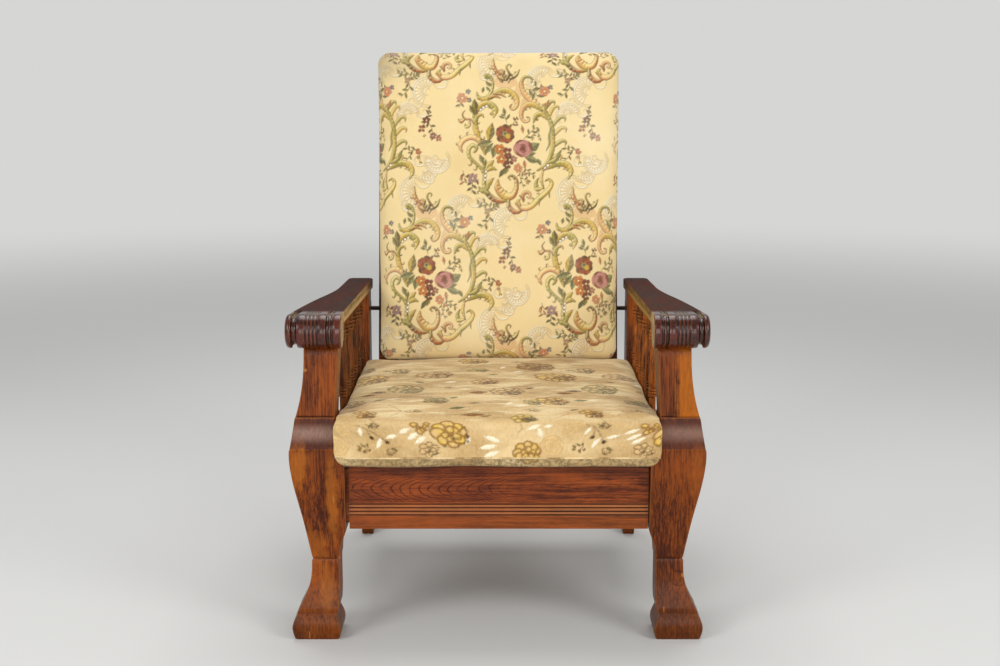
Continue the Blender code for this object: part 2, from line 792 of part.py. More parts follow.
def leg_dowel(name, leg, board, across, depth, parent):
    """A round tenon on a leg's top that stands in the arm."""
    low = arm_underside(depth)
    start = (across, depth, low - DOWEL_ROOT)
    top = (across, depth, low + DOWEL_IN_ARM)
    above = (across, depth, low + DOWEL_IN_ARM + FIT)
    join(leg, cutter_cylinder(f"{name}_dowel", start, top, DOWEL_RADIUS, 16, parent))
    cut(board, cutter_cylinder(f"{name}_socket", start, above, DOWEL_RADIUS + FIT, 16, parent))


def spindles(side_name, side, board, rail, parent):
    """The turned spindles between a side rail and the sloping arm, with their holes."""
    for number, depth in enumerate(spindle_depths(), 1):
        bottom = SIDE_RAIL_TOP + GAP
        slack = SPINDLE_FOOT * math.tan(ARM_SLOPE) + GAP
        top = arm_underside(depth) - slack
        across = side * SIDE_MIDDLE
        name = f"spindle_{side_name}_{number}"
        turned(
            name,
            spindle_profile(top - bottom),
            8,
            parent,
            spindle_wood(),
            (across, depth, (top + bottom) / 2),
        )
        reach = SPINDLE_TENON + FIT
        for piece, where, start, end in (
            (board, "arm", top - 0.006, top + reach),
            (rail, "rail", bottom + 0.006, bottom - reach),
        ):
            hole = cutter_cylinder(
                f"{name}_{where}_hole",
                (across, depth, start),
                (across, depth, end),
                SPINDLE_TENON_RADIUS + FIT,
                10,
                parent,
            )
            cut(piece, hole)


def seat_supports(parent):
    slat_bottom = SLAT_TOP - SLAT_THICKNESS
    first = LEG_DEPTH + FIRST_SLAT
    last = REAR_LEG_FRONT - LAST_SLAT
    for side_name, side in SIDES:
        inner = side * (SIDE_INNER - GAP)
        box(
            f"seat_cleat_{side_name}",
            (inner, first, slat_bottom - GAP - CLEAT_SIZE),
            (inner - side * CLEAT_SIZE, last + SLAT_WIDTH / 2, slat_bottom - GAP),
            parent,
            hidden_wood(),
        )
    pitch = (last - first - SLAT_WIDTH / 2) / (SLATS - 1)
    for number in range(SLATS):
        middle = first + SLAT_WIDTH / 2 + pitch * number
        slat = box(
            f"seat_slat_{number + 1}",
            (-(SIDE_INNER - SLAT_SLACK), middle - SLAT_WIDTH / 2, slat_bottom),
            (SIDE_INNER - SLAT_SLACK, middle + SLAT_WIDTH / 2, SLAT_TOP),
            parent,
            hidden_wood(),
        )
        bevel(slat, 0.0015, 1, 60)


def corner_block(name, corner, inwards, rail_bottom, parent):
    """A triangular glue block whose square corner stands at (across, depth)."""
    across, depth = corner
    outline = [
        (across, depth, True),
        (across + inwards[0] * BLOCK_LEG, depth, True),
        (across, depth + inwards[1] * BLOCK_LEG, True),
    ]
    middle = (0, 0, rail_bottom + BLOCK_RAISE + BLOCK_HEIGHT / 2)
    plank(name, outline, BLOCK_HEIGHT, FACING_UP, middle, parent, hidden_wood())


def corner_blocks(parent):
    """The glue blocks inside the four corners of the seat frame."""
    front_face = FRONT_RAIL_SETBACK + FRONT_RAIL_THICKNESS + GAP
    rear_face = REAR_LEG_FRONT + REAR_RAIL_SETBACK - GAP
    for side_name, side in SIDES:
        front = (side * (LEG_INNER - GAP), front_face)
        rear = (side * (SIDE_INNER - GAP), rear_face)
        name = f"corner_block_front_{side_name}"
        corner_block(name, front, (-side, 1), FRONT_RAIL_BOTTOM, parent)
        name = f"corner_block_rear_{side_name}"
        corner_block(name, rear, (-side, -1), REAR_RAIL_BOTTOM, parent)


def seat_cushion(parent):
    half = SEAT_CUSHION_WIDTH / 2
    bottom = max(SLAT_TOP, FRONT_RAIL_TOP) + GAP
    cushion = box(
        "seat_cushion",
        (-half, SEAT_CUSHION_FRONT, bottom),
        (half, SEAT_CUSHION_FRONT + SEAT_CUSHION_LENGTH, bottom + SEAT_CUSHION_THICKNESS),
        parent,
        velour(),
    )
    return bevel(cushion, SEAT_CUSHION_EDGE, 3, 60)


def notch_point(middle, angle):
    """A point of a notch's round seat, the angle in degrees from straight back."""
    turn = math.radians(angle)
    return (middle + NOTCH_RADIUS * math.cos(turn), ROD_HEIGHT + NOTCH_RADIUS * math.sin(turn))


def middle_notch(number):
    """A half-round seat for the rod between upright flanks."""
    middle = ROD_DEPTH + number * NOTCH_PITCH
    points = [(middle - NOTCH_RADIUS, RACK_CREST)]
    points += [notch_point(middle, angle) for angle in (210, 240, 270, 300, 330)]
    return points + [(middle + NOTCH_RADIUS, RACK_CREST)]


def first_notch():
    """The notch in use at rest: its rear flank runs under the rod's swing."""
    reach = SWING_RADIUS - NOTCH_RADIUS
    points = [(ROD_DEPTH - NOTCH_RADIUS, RACK_CREST)]
    angles = (210, 240, 270, 270 + math.degrees(HALF_SWING))
    points += [notch_point(ROD_DEPTH, angle) for angle in angles]
    start = points[-1][0]
    stop = SWING_DEPTH - math.sqrt(reach**2 - (RACK_CREST - SWING_HEIGHT) ** 2)
    steps = 3
    for step in range(1, steps + 1):
        across = start + (stop - start) * step / steps
        points.append((across, SWING_HEIGHT + math.sqrt(reach**2 - (across - SWING_DEPTH) ** 2)))
    return points


def last_notch():
    """The first notch mirrored, as the rod lands there along the other end of its swing."""
    return [(2 * SWING_DEPTH - across, up) for across, up in reversed(first_notch())]


def rack_outline():
    """One rack's web seen from the side."""
    front = REAR_LEG_FRONT + REAR_LEG_DEPTH + FLANGE_THICKNESS / 2
    tail = ROD_DEPTH + ROD_TRAVEL + RACK_TAIL
    low = ROD_HEIGHT - RACK_HEIGHT
    points = [(front, low), (front, RACK_CREST)] + first_notch()
    for number in range(1, NOTCHES - 1):
        points += middle_notch(number)
    points += last_notch() + [(tail, RACK_CREST)]
    points += [(tail, low + RACK_CHAMFER[1]), (tail - RACK_CHAMFER[0], low)]
    return [(across, up, True) for across, up in points]


def rack_and_screws(side_name, side, leg, parent):
    """The notched rack behind the rear leg, its flange, and the two screws that hold it."""
    name = f"rack_{side_name}"
    across = side * SIDE_MIDDLE
    middle = (across, 0, 0)
    rack = plank(name, rack_outline(), RACK_THICKNESS, FACING_SIDE, middle, parent, black_iron())
    face = REAR_LEG_FRONT + REAR_LEG_DEPTH + GAP
    back = face + FLANGE_THICKNESS
    half = FLANGE_WIDTH / 2
    flange = cutter_box(
        f"{name}_flange",
        (across - half, face, ROD_HEIGHT - RACK_HEIGHT - FLANGE_BELOW),
        (across + half, back, ROD_HEIGHT + FLANGE_ABOVE),
        parent,
    )
    join(rack, flange)
    heights = (
        ROD_HEIGHT + FLANGE_ABOVE - SCREW_INSET,
        ROD_HEIGHT - RACK_HEIGHT - FLANGE_BELOW + SCREW_INSET,
    )
    profile = [
        (0, SCREW_HEAD_HEIGHT),
        (SCREW_HEAD_RADIUS * 0.65, SCREW_HEAD_HEIGHT * 0.85),
        (SCREW_HEAD_RADIUS, SCREW_HEAD_HEIGHT * 0.3),
        (SCREW_HEAD_RADIUS, 0),
        (SCREW_RADIUS, 0),
        (SCREW_RADIUS, -SCREW_LENGTH + 0.004),
        (0, -SCREW_LENGTH),
    ]
    for number, height in enumerate(heights, 1):
        under_head = back + GAP
        hole = cutter_cylinder(
            f"{name}_screw_hole_{number}",
            (across, under_head + 0.002, height),
            (across, under_head - SCREW_LENGTH - FIT, height),
            SCREW_RADIUS + FIT,
            10,
            parent,
        )
        cut(rack, hole)
        cut(leg, hole)
        turned(
            f"rack_screw_{side_name}_{number}",
            profile,
            10,
            parent,
            black_iron(),
            (across, under_head, height),
            (-math.pi / 2, 0, 0),
        )
    return rack


def support_rod(parent):
    """The rod behind the back, in a frame whose origin is the middle of its path from notch to notch."""
    half = SIDE_MIDDLE + ROD_OVERHANG
    across = ROD_DEPTH - SWING_DEPTH
    up = ROD_HEIGHT - SWING_HEIGHT
    return cylinder(
        "support_rod",
        (-half, across, up),
        (half, across, up),
        ROD_RADIUS,
        24,
        parent,
        black_iron(),
    )


def back_frame(parent):
    """Stiles and rails of the reclining back, in the back's own frame."""
    rear = STILE_BEHIND_PIVOT
    front = rear - STILE_THICKNESS
    outer = BACK_WIDTH / 2
    inner = BACK_STILE_INNER
    stiles = {}
    for side_name, side in SIDES:
        stiles[side] = box(
            f"back_stile_{side_name}",
            (side * inner, front, -STILE_FOOT),
            (side * outer, rear, STILE_TOP),
            parent,
            rail_wood(),
        )
    rail_front = front + (STILE_THICKNESS - BACK_RAIL_THICKNESS) / 2
    half = TENON_THICKNESS / 2
    tenon_top = BACK_RAIL_HEIGHT - BACK_RAIL_SHOULDER
    rails = (
        ("back_bottom_rail", BACK_BOTTOM_RAIL),
        ("back_top_rail", TOP_RAIL),
    )
    for name, low in rails:
        rail = box(
            name,
            (-(inner - GAP), rail_front, low),
            (inner - GAP, rail_front + BACK_RAIL_THICKNESS, low + BACK_RAIL_HEIGHT),
            parent,
            rail_wood(),
        )
        middle = rail_front + BACK_RAIL_THICKNESS / 2
        for side_name, side in SIDES:
            tenon(
                rail,
                stiles[side],
                f"{name}_{side_name}",
                (side * (inner - GAP), middle - half, low + BACK_RAIL_SHOULDER),
                (side * (inner + TENON_LENGTH), middle + half, low + tenon_top),
                (side, 0, 0),
                parent,
            )
    return stiles


def back_slats(stiles, parent):
    """The thin cross slats housed in both stiles."""
    inner = BACK_STILE_INNER
    front = STILE_BEHIND_PIVOT - STILE_THICKNESS + BACK_SLAT_SETBACK
    start = BACK_BOTTOM_RAIL + BACK_RAIL_HEIGHT
    space = (TOP_RAIL - start - BACK_SLATS * BACK_SLAT_HEIGHT) / (BACK_SLATS + 1)
    for number in range(BACK_SLATS):
        low = start + space * (number + 1) + BACK_SLAT_HEIGHT * number
        corners = (
            (-(inner + BACK_SLAT_TENON), front, low),
            (inner + BACK_SLAT_TENON, front + BACK_SLAT_THICKNESS, low + BACK_SLAT_HEIGHT),
        )
        name = f"back_slat_{number + 1}"
        box(name, *corners, parent, rail_wood())
        for side_name, side in SIDES:
            low_corner, high_corner = grown(*corners, FIT)
            low_corner.x = side * (inner - SPARE)
            high_corner.x = side * (inner + BACK_SLAT_TENON + FIT)
            mortise = cutter_box(f"{name}_{side_name}_mortise", low_corner, high_corner, parent)
            cut(stiles[side], mortise)


def back_cushion(parent):
    half = BACK_CUSHION_WIDTH / 2
    against = STILE_BEHIND_PIVOT - STILE_THICKNESS - GAP
    cushion = box(
        "back_cushion",
        (-half, against - BACK_CUSHION_THICKNESS, BACK_CUSHION_START),
        (half, against, BACK_CUSHION_START + BACK_CUSHION_LENGTH),
        parent,
        tapestry(),
    )
    return bevel(cushion, BACK_CUSHION_EDGE, 3, 60)


def pivots(stiles, legs, frame, back):
    """Pins through the stiles into the rear legs, with a spacer on each between stile and leg."""
    for side_name, side in SIDES:
        under_head = side * (BACK_STILE_INNER - GAP)
        length = SIDE_INNER + PIN_IN_LEG - (BACK_STILE_INNER - GAP)
        profile = [
            (0, PIN_HEAD_THICKNESS),
            (PIN_HEAD_RADIUS * 0.8, PIN_HEAD_THICKNESS),
            (PIN_HEAD_RADIUS, PIN_HEAD_THICKNESS * 0.6),
            (PIN_HEAD_RADIUS, 0),
            (PIN_RADIUS, 0),
            (PIN_RADIUS, -length),
            (0, -length),
        ]
        turned(
            f"pivot_pin_{side_name}",
            profile,
            20,
            frame,
            black_iron(),
            (under_head, PIVOT_DEPTH, PIVOT_HEIGHT),
            (0, -side * math.pi / 2, 0),
        )
        bore = cutter_cylinder(
            f"pivot_bore_stile_{side_name}",
            (side * (BACK_STILE_INNER - SPARE), 0, 0),
            (side * (BACK_WIDTH / 2 + SPARE), 0, 0),
            PIN_RADIUS + FIT,
            20,
            back,
        )
        cut(stiles[side], bore)
        socket = cutter_cylinder(
            f"pivot_bore_leg_{side_name}",
            (side * (BACK_WIDTH / 2 - SPARE), PIVOT_DEPTH, PIVOT_HEIGHT),
            (side * (SIDE_INNER + PIN_IN_LEG + FIT), PIVOT_DEPTH, PIVOT_HEIGHT),
            PIN_RADIUS + FIT,
            20,
            frame,
        )
        cut(legs[f"rear_{side_name}"], socket)
        spacer = cylinder(
            f"pivot_spacer_{side_name}",
            (side * (BACK_WIDTH / 2 + GAP), PIVOT_DEPTH, PIVOT_HEIGHT),
            (side * (SIDE_INNER - GAP), PIVOT_DEPTH, PIVOT_HEIGHT),
            SPACER_RADIUS,
            20,
            frame,
            black_iron(),
        )
        cut(spacer, socket)


def new_empty(name, location, turn=0.0, parent=None):
    empty = bpy.data.objects.new(name, None)
    bpy.data.collections[CHAIR].objects.link(empty)
    empty.empty_display_size = 0.05
    empty.location = location
    empty.rotation_euler = (turn, 0, 0)
    empty.parent = parent
    return empty


def stand_over_origin(root):
    """Moves the whole chair so that the origin is at the middle of its footprint, on the floor."""
    bpy.context.view_layer.update()
    graph = bpy.context.evaluated_depsgraph_get()
    low, high = Vector((9, 9, 9)), Vector((-9, -9, -9))
    for obj in bpy.data.collections[CHAIR].objects:
        if obj.type == "EMPTY":
            continue
        shape = obj.evaluated_get(graph)
        for vertex in shape.data.vertices:
            corner = shape.matrix_world @ vertex.co
            low = Vector(map(min, low, corner))
            high = Vector(map(max, high, corner))
    root.location = (-(low.x + high.x) / 2, -(low.y + high.y) / 2, -low.z)
    bpy.context.view_layer.update()


def build():
    clear_scene()
    new_collection(CHAIR)
    new_collection(CUTTERS, hidden=True)
    frame = new_empty("chair", (0, 0, 0))
    back = new_empty("back_pivot", (0, PIVOT_DEPTH, PIVOT_HEIGHT), -RECLINE_AT_REST, frame)
    swing = new_empty("rod_swing", (0, SWING_DEPTH, SWING_HEIGHT), 0.0, frame)
    legs = {}
    rails = {"front": front_rail(frame), "rear": rear_rail(frame)}
    for side_name, side in SIDES:
        legs[f"front_{side_name}"] = front_leg(f"front_leg_{side_name}", side, frame)
        legs[f"rear_{side_name}"] = rear_leg(f"rear_leg_{side_name}", side, frame)
        rails[side_name] = side_rail(f"side_rail_{side_name}", side, frame)
        tilt = new_empty(
            f"arm_tilt_{side_name}", (0, ROLL_SETBACK, ROLL_HEIGHT), -ARM_SLOPE, frame
        )
        board = arm(f"arm_{side_name}", side, tilt)
        spindles(side_name, side, board, rails[side_name], frame)
        dowels = (
            ("front", LEG_MIDDLE, LEG_DEPTH - DOWEL_INSET),
            ("rear", SIDE_MIDDLE, REAR_LEG_FRONT + REAR_LEG_DEPTH - DOWEL_INSET),
        )
        for end, across, depth in dowels:
            leg = legs[f"{end}_{side_name}"]
            leg_dowel(f"{end}_leg_{side_name}", leg, board, side * across, depth, frame)
        rack_and_screws(side_name, side, legs[f"rear_{side_name}"], frame)
    frame_tenons(legs, rails, frame)
    seat_supports(frame)
    corner_blocks(frame)
    seat_cushion(frame)
    stiles = back_frame(back)
    back_slats(stiles, back)
    back_cushion(back)
    pivots(stiles, legs, frame, back)
    support_rod(swing)
    stand_over_origin(frame)


build()
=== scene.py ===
"""The looks of an old oak reclining armchair with a velour seat cushion and a tapestry back cushion.

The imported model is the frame. Each operator below makes one piece or one group of like pieces in its place,
and the last one lights them and sets up the camera. Lengths are in metres, the front faces -Y and +Z is up.
"""

import json
import math

import bmesh
import bpy
import numpy as np
from bpy.props import FloatProperty, FloatVectorProperty, IntProperty, PointerProperty
from mathutils import Matrix, Vector

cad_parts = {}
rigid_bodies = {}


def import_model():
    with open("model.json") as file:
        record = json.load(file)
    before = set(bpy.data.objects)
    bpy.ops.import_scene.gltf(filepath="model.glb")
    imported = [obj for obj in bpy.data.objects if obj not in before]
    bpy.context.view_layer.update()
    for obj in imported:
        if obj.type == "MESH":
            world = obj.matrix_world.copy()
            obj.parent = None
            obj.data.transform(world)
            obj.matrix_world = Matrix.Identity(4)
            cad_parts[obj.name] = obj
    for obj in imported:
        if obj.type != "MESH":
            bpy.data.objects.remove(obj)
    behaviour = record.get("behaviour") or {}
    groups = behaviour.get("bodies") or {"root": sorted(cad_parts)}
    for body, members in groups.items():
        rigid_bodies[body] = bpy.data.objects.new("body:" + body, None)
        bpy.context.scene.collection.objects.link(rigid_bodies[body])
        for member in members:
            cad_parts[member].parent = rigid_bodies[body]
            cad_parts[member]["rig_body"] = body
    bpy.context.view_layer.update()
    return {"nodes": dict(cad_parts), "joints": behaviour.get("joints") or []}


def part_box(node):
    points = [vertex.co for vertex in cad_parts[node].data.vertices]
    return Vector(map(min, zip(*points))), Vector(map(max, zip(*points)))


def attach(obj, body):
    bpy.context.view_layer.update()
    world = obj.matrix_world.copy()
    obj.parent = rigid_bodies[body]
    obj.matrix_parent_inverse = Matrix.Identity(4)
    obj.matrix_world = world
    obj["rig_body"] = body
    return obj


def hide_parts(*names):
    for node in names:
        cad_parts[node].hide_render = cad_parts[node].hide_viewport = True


bl_info = {
    "name": "Oak reclining armchair",
    "version": (1, 0, 0),
    "blender": (4, 5, 0),
    "location": "3D View > Sidebar > Armchair",
    "description": "Makes the wood, ironwork and cushions of an old oak reclining armchair",
    "category": "Object",
}

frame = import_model()
NODES = frame["nodes"]
SIDES = (("left", -1), ("right", 1))


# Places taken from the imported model


def rows_of(items, field, width, kind=np.float32):
    """A field of all the items of a mesh, as an array with one row for each."""
    values = np.empty(len(items) * width, kind)
    items.foreach_get(field, values)
    return values.reshape(-1, width)


def mesh_points(mesh):
    return rows_of(mesh.vertices, "co", 3).astype(float)


def sections(node, levels):
    """The lowest and highest corner of a CAD node's section at each height."""
    mesh = NODES[node].data
    start, stop = mesh_points(mesh)[rows_of(mesh.edges, "vertices", 2, np.int32).T]
    found = []
    for level in levels:
        crossing = (start[:, 2] - level) * (stop[:, 2] - level) <= 0
        crossing &= np.abs(stop[:, 2] - start[:, 2]) > 1e-7
        first, last = start[crossing], stop[crossing]
        part = (level - first[:, 2:]) / (last[:, 2:] - first[:, 2:])
        section = first + part * (last - first)
        found.append((section.min(0), section.max(0)))
    return np.array(found)


def turned_about(pivot, angle):
    """The turn about an X axis through the pivot that tilts a piece backwards."""
    return Matrix.Translation(pivot) @ Matrix.Rotation(-angle, 4, "X") @ Matrix.Translation(-pivot)


PIVOT = Vector(frame["joints"][0]["pos_m"])
RECLINE_AT_REST = math.radians(12)
LEAN = turned_about(PIVOT, RECLINE_AT_REST)


def box_of(node, turn=None):
    """The lowest and highest corner of a CAD node in the upright position that the turn tilts it from."""
    if turn is None:
        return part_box(node)
    back = np.array(turn.inverted())
    points = mesh_points(NODES[node].data) @ back[:3, :3].T + back[:3, 3]
    return Vector(points.min(0)), Vector(points.max(0))


# Node trees written as Python expressions


def arithmetic(operation, reflected=False):
    """A method of Wire for one operator: it adds the node that works it out."""

    def joined(self, other):
        kind = "ShaderNodeMath" if self.socket.type == "VALUE" else "ShaderNodeVectorMath"
        first, second = (other, self) if reflected else (self, other)
        return self.tree.node(kind, {"operation": operation}, {0: first, 1: second})

    return joined


class Wire:
    """A socket that takes part in expressions. Plain numbers use Math nodes, the rest Vector Math nodes."""

    def __init__(self, tree, socket):
        self.tree = tree
        self.socket = socket

    __add__, __radd__ = arithmetic("ADD"), arithmetic("ADD", reflected=True)
    __sub__, __rsub__ = arithmetic("SUBTRACT"), arithmetic("SUBTRACT", reflected=True)
    __mul__, __rmul__ = arithmetic("MULTIPLY"), arithmetic("MULTIPLY", reflected=True)
    __truediv__ = arithmetic("DIVIDE")


class Tree:
    """A node tree under construction."""

    def __init__(self, nodes):
        self.nodes = nodes

    def node(self, kind, settings=None, values=None, output=0):
        """Adds a node: its settings first, then the values or wires of its sockets. Gives one output."""
        made = self.nodes.nodes.new(kind)
        for name, setting in (settings or {}).items():
            setattr(made, name, setting)
        for name, value in (values or {}).items():
            socket = made.inputs[name]
            if isinstance(value, Wire):
                self.nodes.links.new(value.socket, socket)
            elif socket.type == "RGBA":
                socket.default_value = (*value, 1)
            else:
                socket.default_value = value
        return Wire(self, made.outputs[output])


class Finish(Tree):
    """A material under construction, with short names for what the recipes use most."""

    def __init__(self, name, **constants):
        self.material = bpy.data.materials.new(name)
        self.material.use_nodes = True
        super().__init__(self.material.node_tree)
        self.shader = self.nodes.nodes["Principled BSDF"]
        for socket, value in constants.items():
            self.shader.inputs[socket.replace("_", " ")].default_value = value

    def place(self):
        """Object coordinates, which are the chair's own, in metres."""
        return self.node("ShaderNodeTexCoord", output="Object")

    def moved(self, place, shift=(0, 0, 0), scale=(1, 1, 1)):
        return self.node("ShaderNodeMapping", None, {"Vector": place, "Location": shift, "Scale": scale})

    def attribute(self, name, output="Fac"):
        return self.node("ShaderNodeAttribute", {"attribute_name": name}, output=output)

    def noise(self, place, scale, detail=2.0, roughness=0.5):
        values = {"Vector": place, "Scale": scale, "Detail": detail, "Roughness": roughness}
        return self.node("ShaderNodeTexNoise", None, values, "Fac")

    def step(self, value, low, high):
        """0 below low, 1 above high and smooth between."""
        settings = {"interpolation_type": "SMOOTHSTEP"}
        values = {"Value": value, "From Min": low, "From Max": high}
        return self.node("ShaderNodeMapRange", settings, values)

    def mix(self, amount, under, over):
        """A colour laid over another. Sockets 0, 6 and 7 and output 2 are those for colours."""
        settings = {"data_type": "RGBA", "blend_type": "MIX", "clamp_factor": True}
        return self.node("ShaderNodeMix", settings, {0: amount, 6: under, 7: over}, 2)

    def parts(self, vector):
        split = self.node("ShaderNodeSeparateXYZ", None, {0: vector}).socket.node
        return [Wire(self, socket) for socket in split.outputs]

    def vector(self, x, y, z):
        return self.node("ShaderNodeCombineXYZ", None, {0: x, 1: y, 2: z})

    def sine(self, value):
        return self.node("ShaderNodeMath", {"operation": "SINE"}, {0: value})

    def fraction(self, value):
        return self.node("ShaderNodeMath", {"operation": "FRACT"}, {0: value})

    def larger(self, first, second):
        return self.node("ShaderNodeMath", {"operation": "MAXIMUM"}, {0: first, 1: second})

    def length(self, vector):
        return self.node("ShaderNodeVectorMath", {"operation": "LENGTH"}, {0: vector}, "Value")

    def spot(self, place, middle, radii, ragged, soft, grain):
        """1 inside a rounded patch whose edge is ragged, 0 outside it."""
        size = [1 / radius for radius in radii]
        near = self.moved(place, [-m * s for m, s in zip(middle, size)], scale=size)
        far = self.length(near) + (self.noise(place, grain, 3.0) - 0.5) * (ragged * 2)
        return 1 - self.step(far, 1 - soft, 1 + soft)

    def bump(self, height, distance):
        return self.node("ShaderNodeBump", None, {"Height": height, "Distance": distance})

    def wear(self, **sockets):
        """Joins the wires to the shader's own sockets and gives the material."""
        for name, wire in sockets.items():
            self.nodes.links.new(wire.socket, self.shader.inputs[name.replace("_", " ")])
        return self.material


def paint(hexadecimal):
    """The linear colour of a hexadecimal one as it is seen."""
    channels = [int(hexadecimal[at : at + 2], 16) / 255 for at in (1, 3, 5)]
    return tuple(c / 12.92 if c <= 0.04045 else ((c + 0.055) / 1.055) ** 2.4 for c in channels)


def dimmed(colour, amount):
    return [channel * amount for channel in colour]


def warmed(colour):
    """The same stain where it has turned amber."""
    return [colour[0] * 1.45, colour[1] * 1.30, colour[2] * 0.85]


# Meshes


def loft(rings, closed_ends=True):
    """Points and faces of a skin over rings of equal length, each one closed."""
    rings = np.asarray(rings, float)
    count, around, _ = rings.shape
    index = np.arange(count * around).reshape(count, around)
    beside = np.roll(index, -1, axis=1)
    quads = np.stack([index[:-1], beside[:-1], beside[1:], index[1:]], axis=-1)
    faces = quads.reshape(-1, 4).tolist()
    if closed_ends:
        faces += [index[0, ::-1].tolist(), index[-1].tolist()]
    return rings.reshape(-1, 3), faces


EDGE_REACH = 0.004  # the radius of an edge that counts as fully worn


def mark_edges(mesh):
    """Stores as edge how far each point stands out of its surroundings, or lies in them below 0."""
    count = len(mesh.vertices)
    points, normals = rows_of(mesh.vertices, "co", 3), rows_of(mesh.vertex_normals, "vector", 3)
    ends = rows_of(mesh.edges, "vertices", 2, np.int32)
    ends = np.concatenate([ends, ends[:, ::-1]])
    along = points[ends[:, 1]] - points[ends[:, 0]]
    square = np.maximum((along**2).sum(1), 1e-9)
    bend = -2 * (along * normals[ends[:, 0]]).sum(1) / square
    links = np.maximum(np.bincount(ends[:, 0], minlength=count), 1)
    edge = np.clip(np.bincount(ends[:, 0], bend, count) / links * EDGE_REACH, -1, 1)
    edge = (edge + np.bincount(ends[:, 0], edge[ends[:, 1]], count) / links) / 2
    mesh.attributes.new("edge", "FLOAT", "POINT").data.foreach_set("value", edge.astype(np.float32))


def new_mesh(name, points, faces, edges=()):
    mesh = bpy.data.meshes.new(name)
    mesh.from_pydata([tuple(point) for point in points], edges, faces)
    return mesh


def linked(name, data):
    """A new object in the scene."""
    obj = bpy.data.objects.new(name, data)
    bpy.context.scene.collection.objects.link(obj)
    return obj


def applied(obj):
    """The plain mesh that comes out of an object's modifiers. The object itself goes."""
    graph = bpy.context.evaluated_depsgraph_get()
    mesh = bpy.data.meshes.new_from_object(obj.evaluated_get(graph))
    bpy.data.objects.remove(obj)
    return mesh


def mend(mesh):
    """Merges the doubles of a closed skin and turns its faces outwards."""
    shape = bmesh.new()
    shape.from_mesh(mesh)
    bmesh.ops.remove_doubles(shape, verts=shape.verts, dist=0.000001)
    bmesh.ops.recalc_face_normals(shape, faces=shape.faces)
    shape.to_mesh(mesh)
    shape.free()


def finished_mesh(name, points, faces, material, sharp):
    """An object of a closed skin, mended and finished."""
    mesh = new_mesh(name, points, faces)
    mend(mesh)
    return finished_object(name, mesh, material, sharp)


def finished_object(name, mesh, material, sharp):
    """An object with smooth faces, edges that stay sharp from an angle in degrees, and its material."""
    mesh.shade_smooth()
    mesh.set_sharp_from_angle(angle=math.radians(sharp))
    mesh.materials.clear()
    mesh.materials.append(material)
    mark_edges(mesh)
    return linked(name, mesh)


def stands_for(obj, slot, *nodes):
    """The piece moves with the nodes that it replaces, and these are hidden."""
    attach(obj, NODES[nodes[0]]["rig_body"])
    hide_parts(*nodes)


def spread(low, high, widest, close=()):
    """Places from low to high no further apart than widest, and at the close distances from both ends."""
    inner = [low + c for c in close] + [high - c for c in reversed(close)]
    stops = [low, *inner, high] if inner else [low, high]
    places = [low]
    for start, stop in zip(stops, stops[1:]):
        count = max(1, math.ceil((stop - start) / widest - 1e-6))
        places += [start + (stop - start) * step / count for step in range(1, count + 1)]
    return places


ARC_STEPS = 4


def rounded_rectangle(low, high, radius, steps):
    """A closed ring of (across, deep) points, with that many steps each way between its round corners."""
    inner_low, inner_high = np.add(low, radius), np.subtract(high, radius)
    corners = (
        (inner_high[0], inner_high[1]),
        (inner_low[0], inner_high[1]),
        (inner_low[0], inner_low[1]),
        (inner_high[0], inner_low[1]),
    )
    ring = []
    for number, middle in enumerate(corners):
        angles = np.radians(90 * number + np.linspace(0, 90, ARC_STEPS + 1))
        arc = np.array(middle) + radius * np.stack([np.cos(angles), np.sin(angles)], axis=1)
        ring += list(arc)
        length = (inner_high - inner_low)[number % 2]
        near = min(0.003 / max(length, 1e-6), 0.2)
        parts = np.linspace(near, 1 - near, steps[number % 2] + 1)
        ring += [arc[-1] + toward(90 * number + 180) * length * part for part in parts]
    return np.array(ring)


def toward(degrees):
    """The direction at an angle, one unit long."""
    return np.array([math.cos(math.radians(degrees)), math.sin(math.radians(degrees))])


def eased(values, rounds=20):
    """Evens out a row of values and keeps its two ends."""
    values = np.array(values, float)
    for _ in range(rounds):
        values[1:-1] = (values[1:-1] * 2 + values[:-2] + values[2:]) / 4
    return values


def end_rings(make_ring, start, stop, radius, widest):
    """Rings along a piece whose ends are rounded. make_ring takes a place and how far it is drawn in."""
    angles = np.radians(np.linspace(0, 90, ARC_STEPS + 1))
    near = [(start + radius * (1 - math.sin(a)), radius * (1 - math.cos(a))) for a in angles[::-1]]
    far = [(stop + start - place, inset) for place, inset in reversed(near)]
    middle = [(place, 0.0) for place in spread(start + radius, stop - radius, widest)[1:-1]]
    return [make_ring(place, inset) for place, inset in near + middle + far]


BOARD_CELL = 0.012  # the widest face of a board


def board(low, high, radius):
    """Points and faces of a planed board with rounded edges. Its grain runs along its longest side."""
    low, high = np.array(low, float), np.array(high, float)
    along = int(np.argmax(high - low))
    others = [axis for axis in range(3) if axis != along]
    sides = high[others] - low[others]
    steps = [max(2, math.ceil(side / BOARD_CELL)) for side in sides]

    def ring(place, inset):
        flat = rounded_rectangle(low[others] + inset, high[others] - inset, max(radius - inset, 1e-5), steps)
        points = np.full((len(flat), 3), place)
        points[:, others] = flat
        return points

    return loft(end_rings(ring, low[along], high[along], radius, BOARD_CELL))


def moved_points(points, turn):
    turn = np.array(turn)
    return np.asarray(points) @ turn[:3, :3].T + turn[:3, 3]


# What a user would change


def colour(name, description, hexadecimal):
    return FloatVectorProperty(
        name=name, description=description, subtype="COLOR", size=3, min=0, max=1, default=paint(hexadecimal)
    )


def quantity(name, description, default, least, most, **more):
    return FloatProperty(name=name, description=description, default=default, min=least, max=most, **more)


def length(name, description, default, least, most):
    return quantity(name, description, default, least, most, subtype="DISTANCE", unit="LENGTH", precision=4)


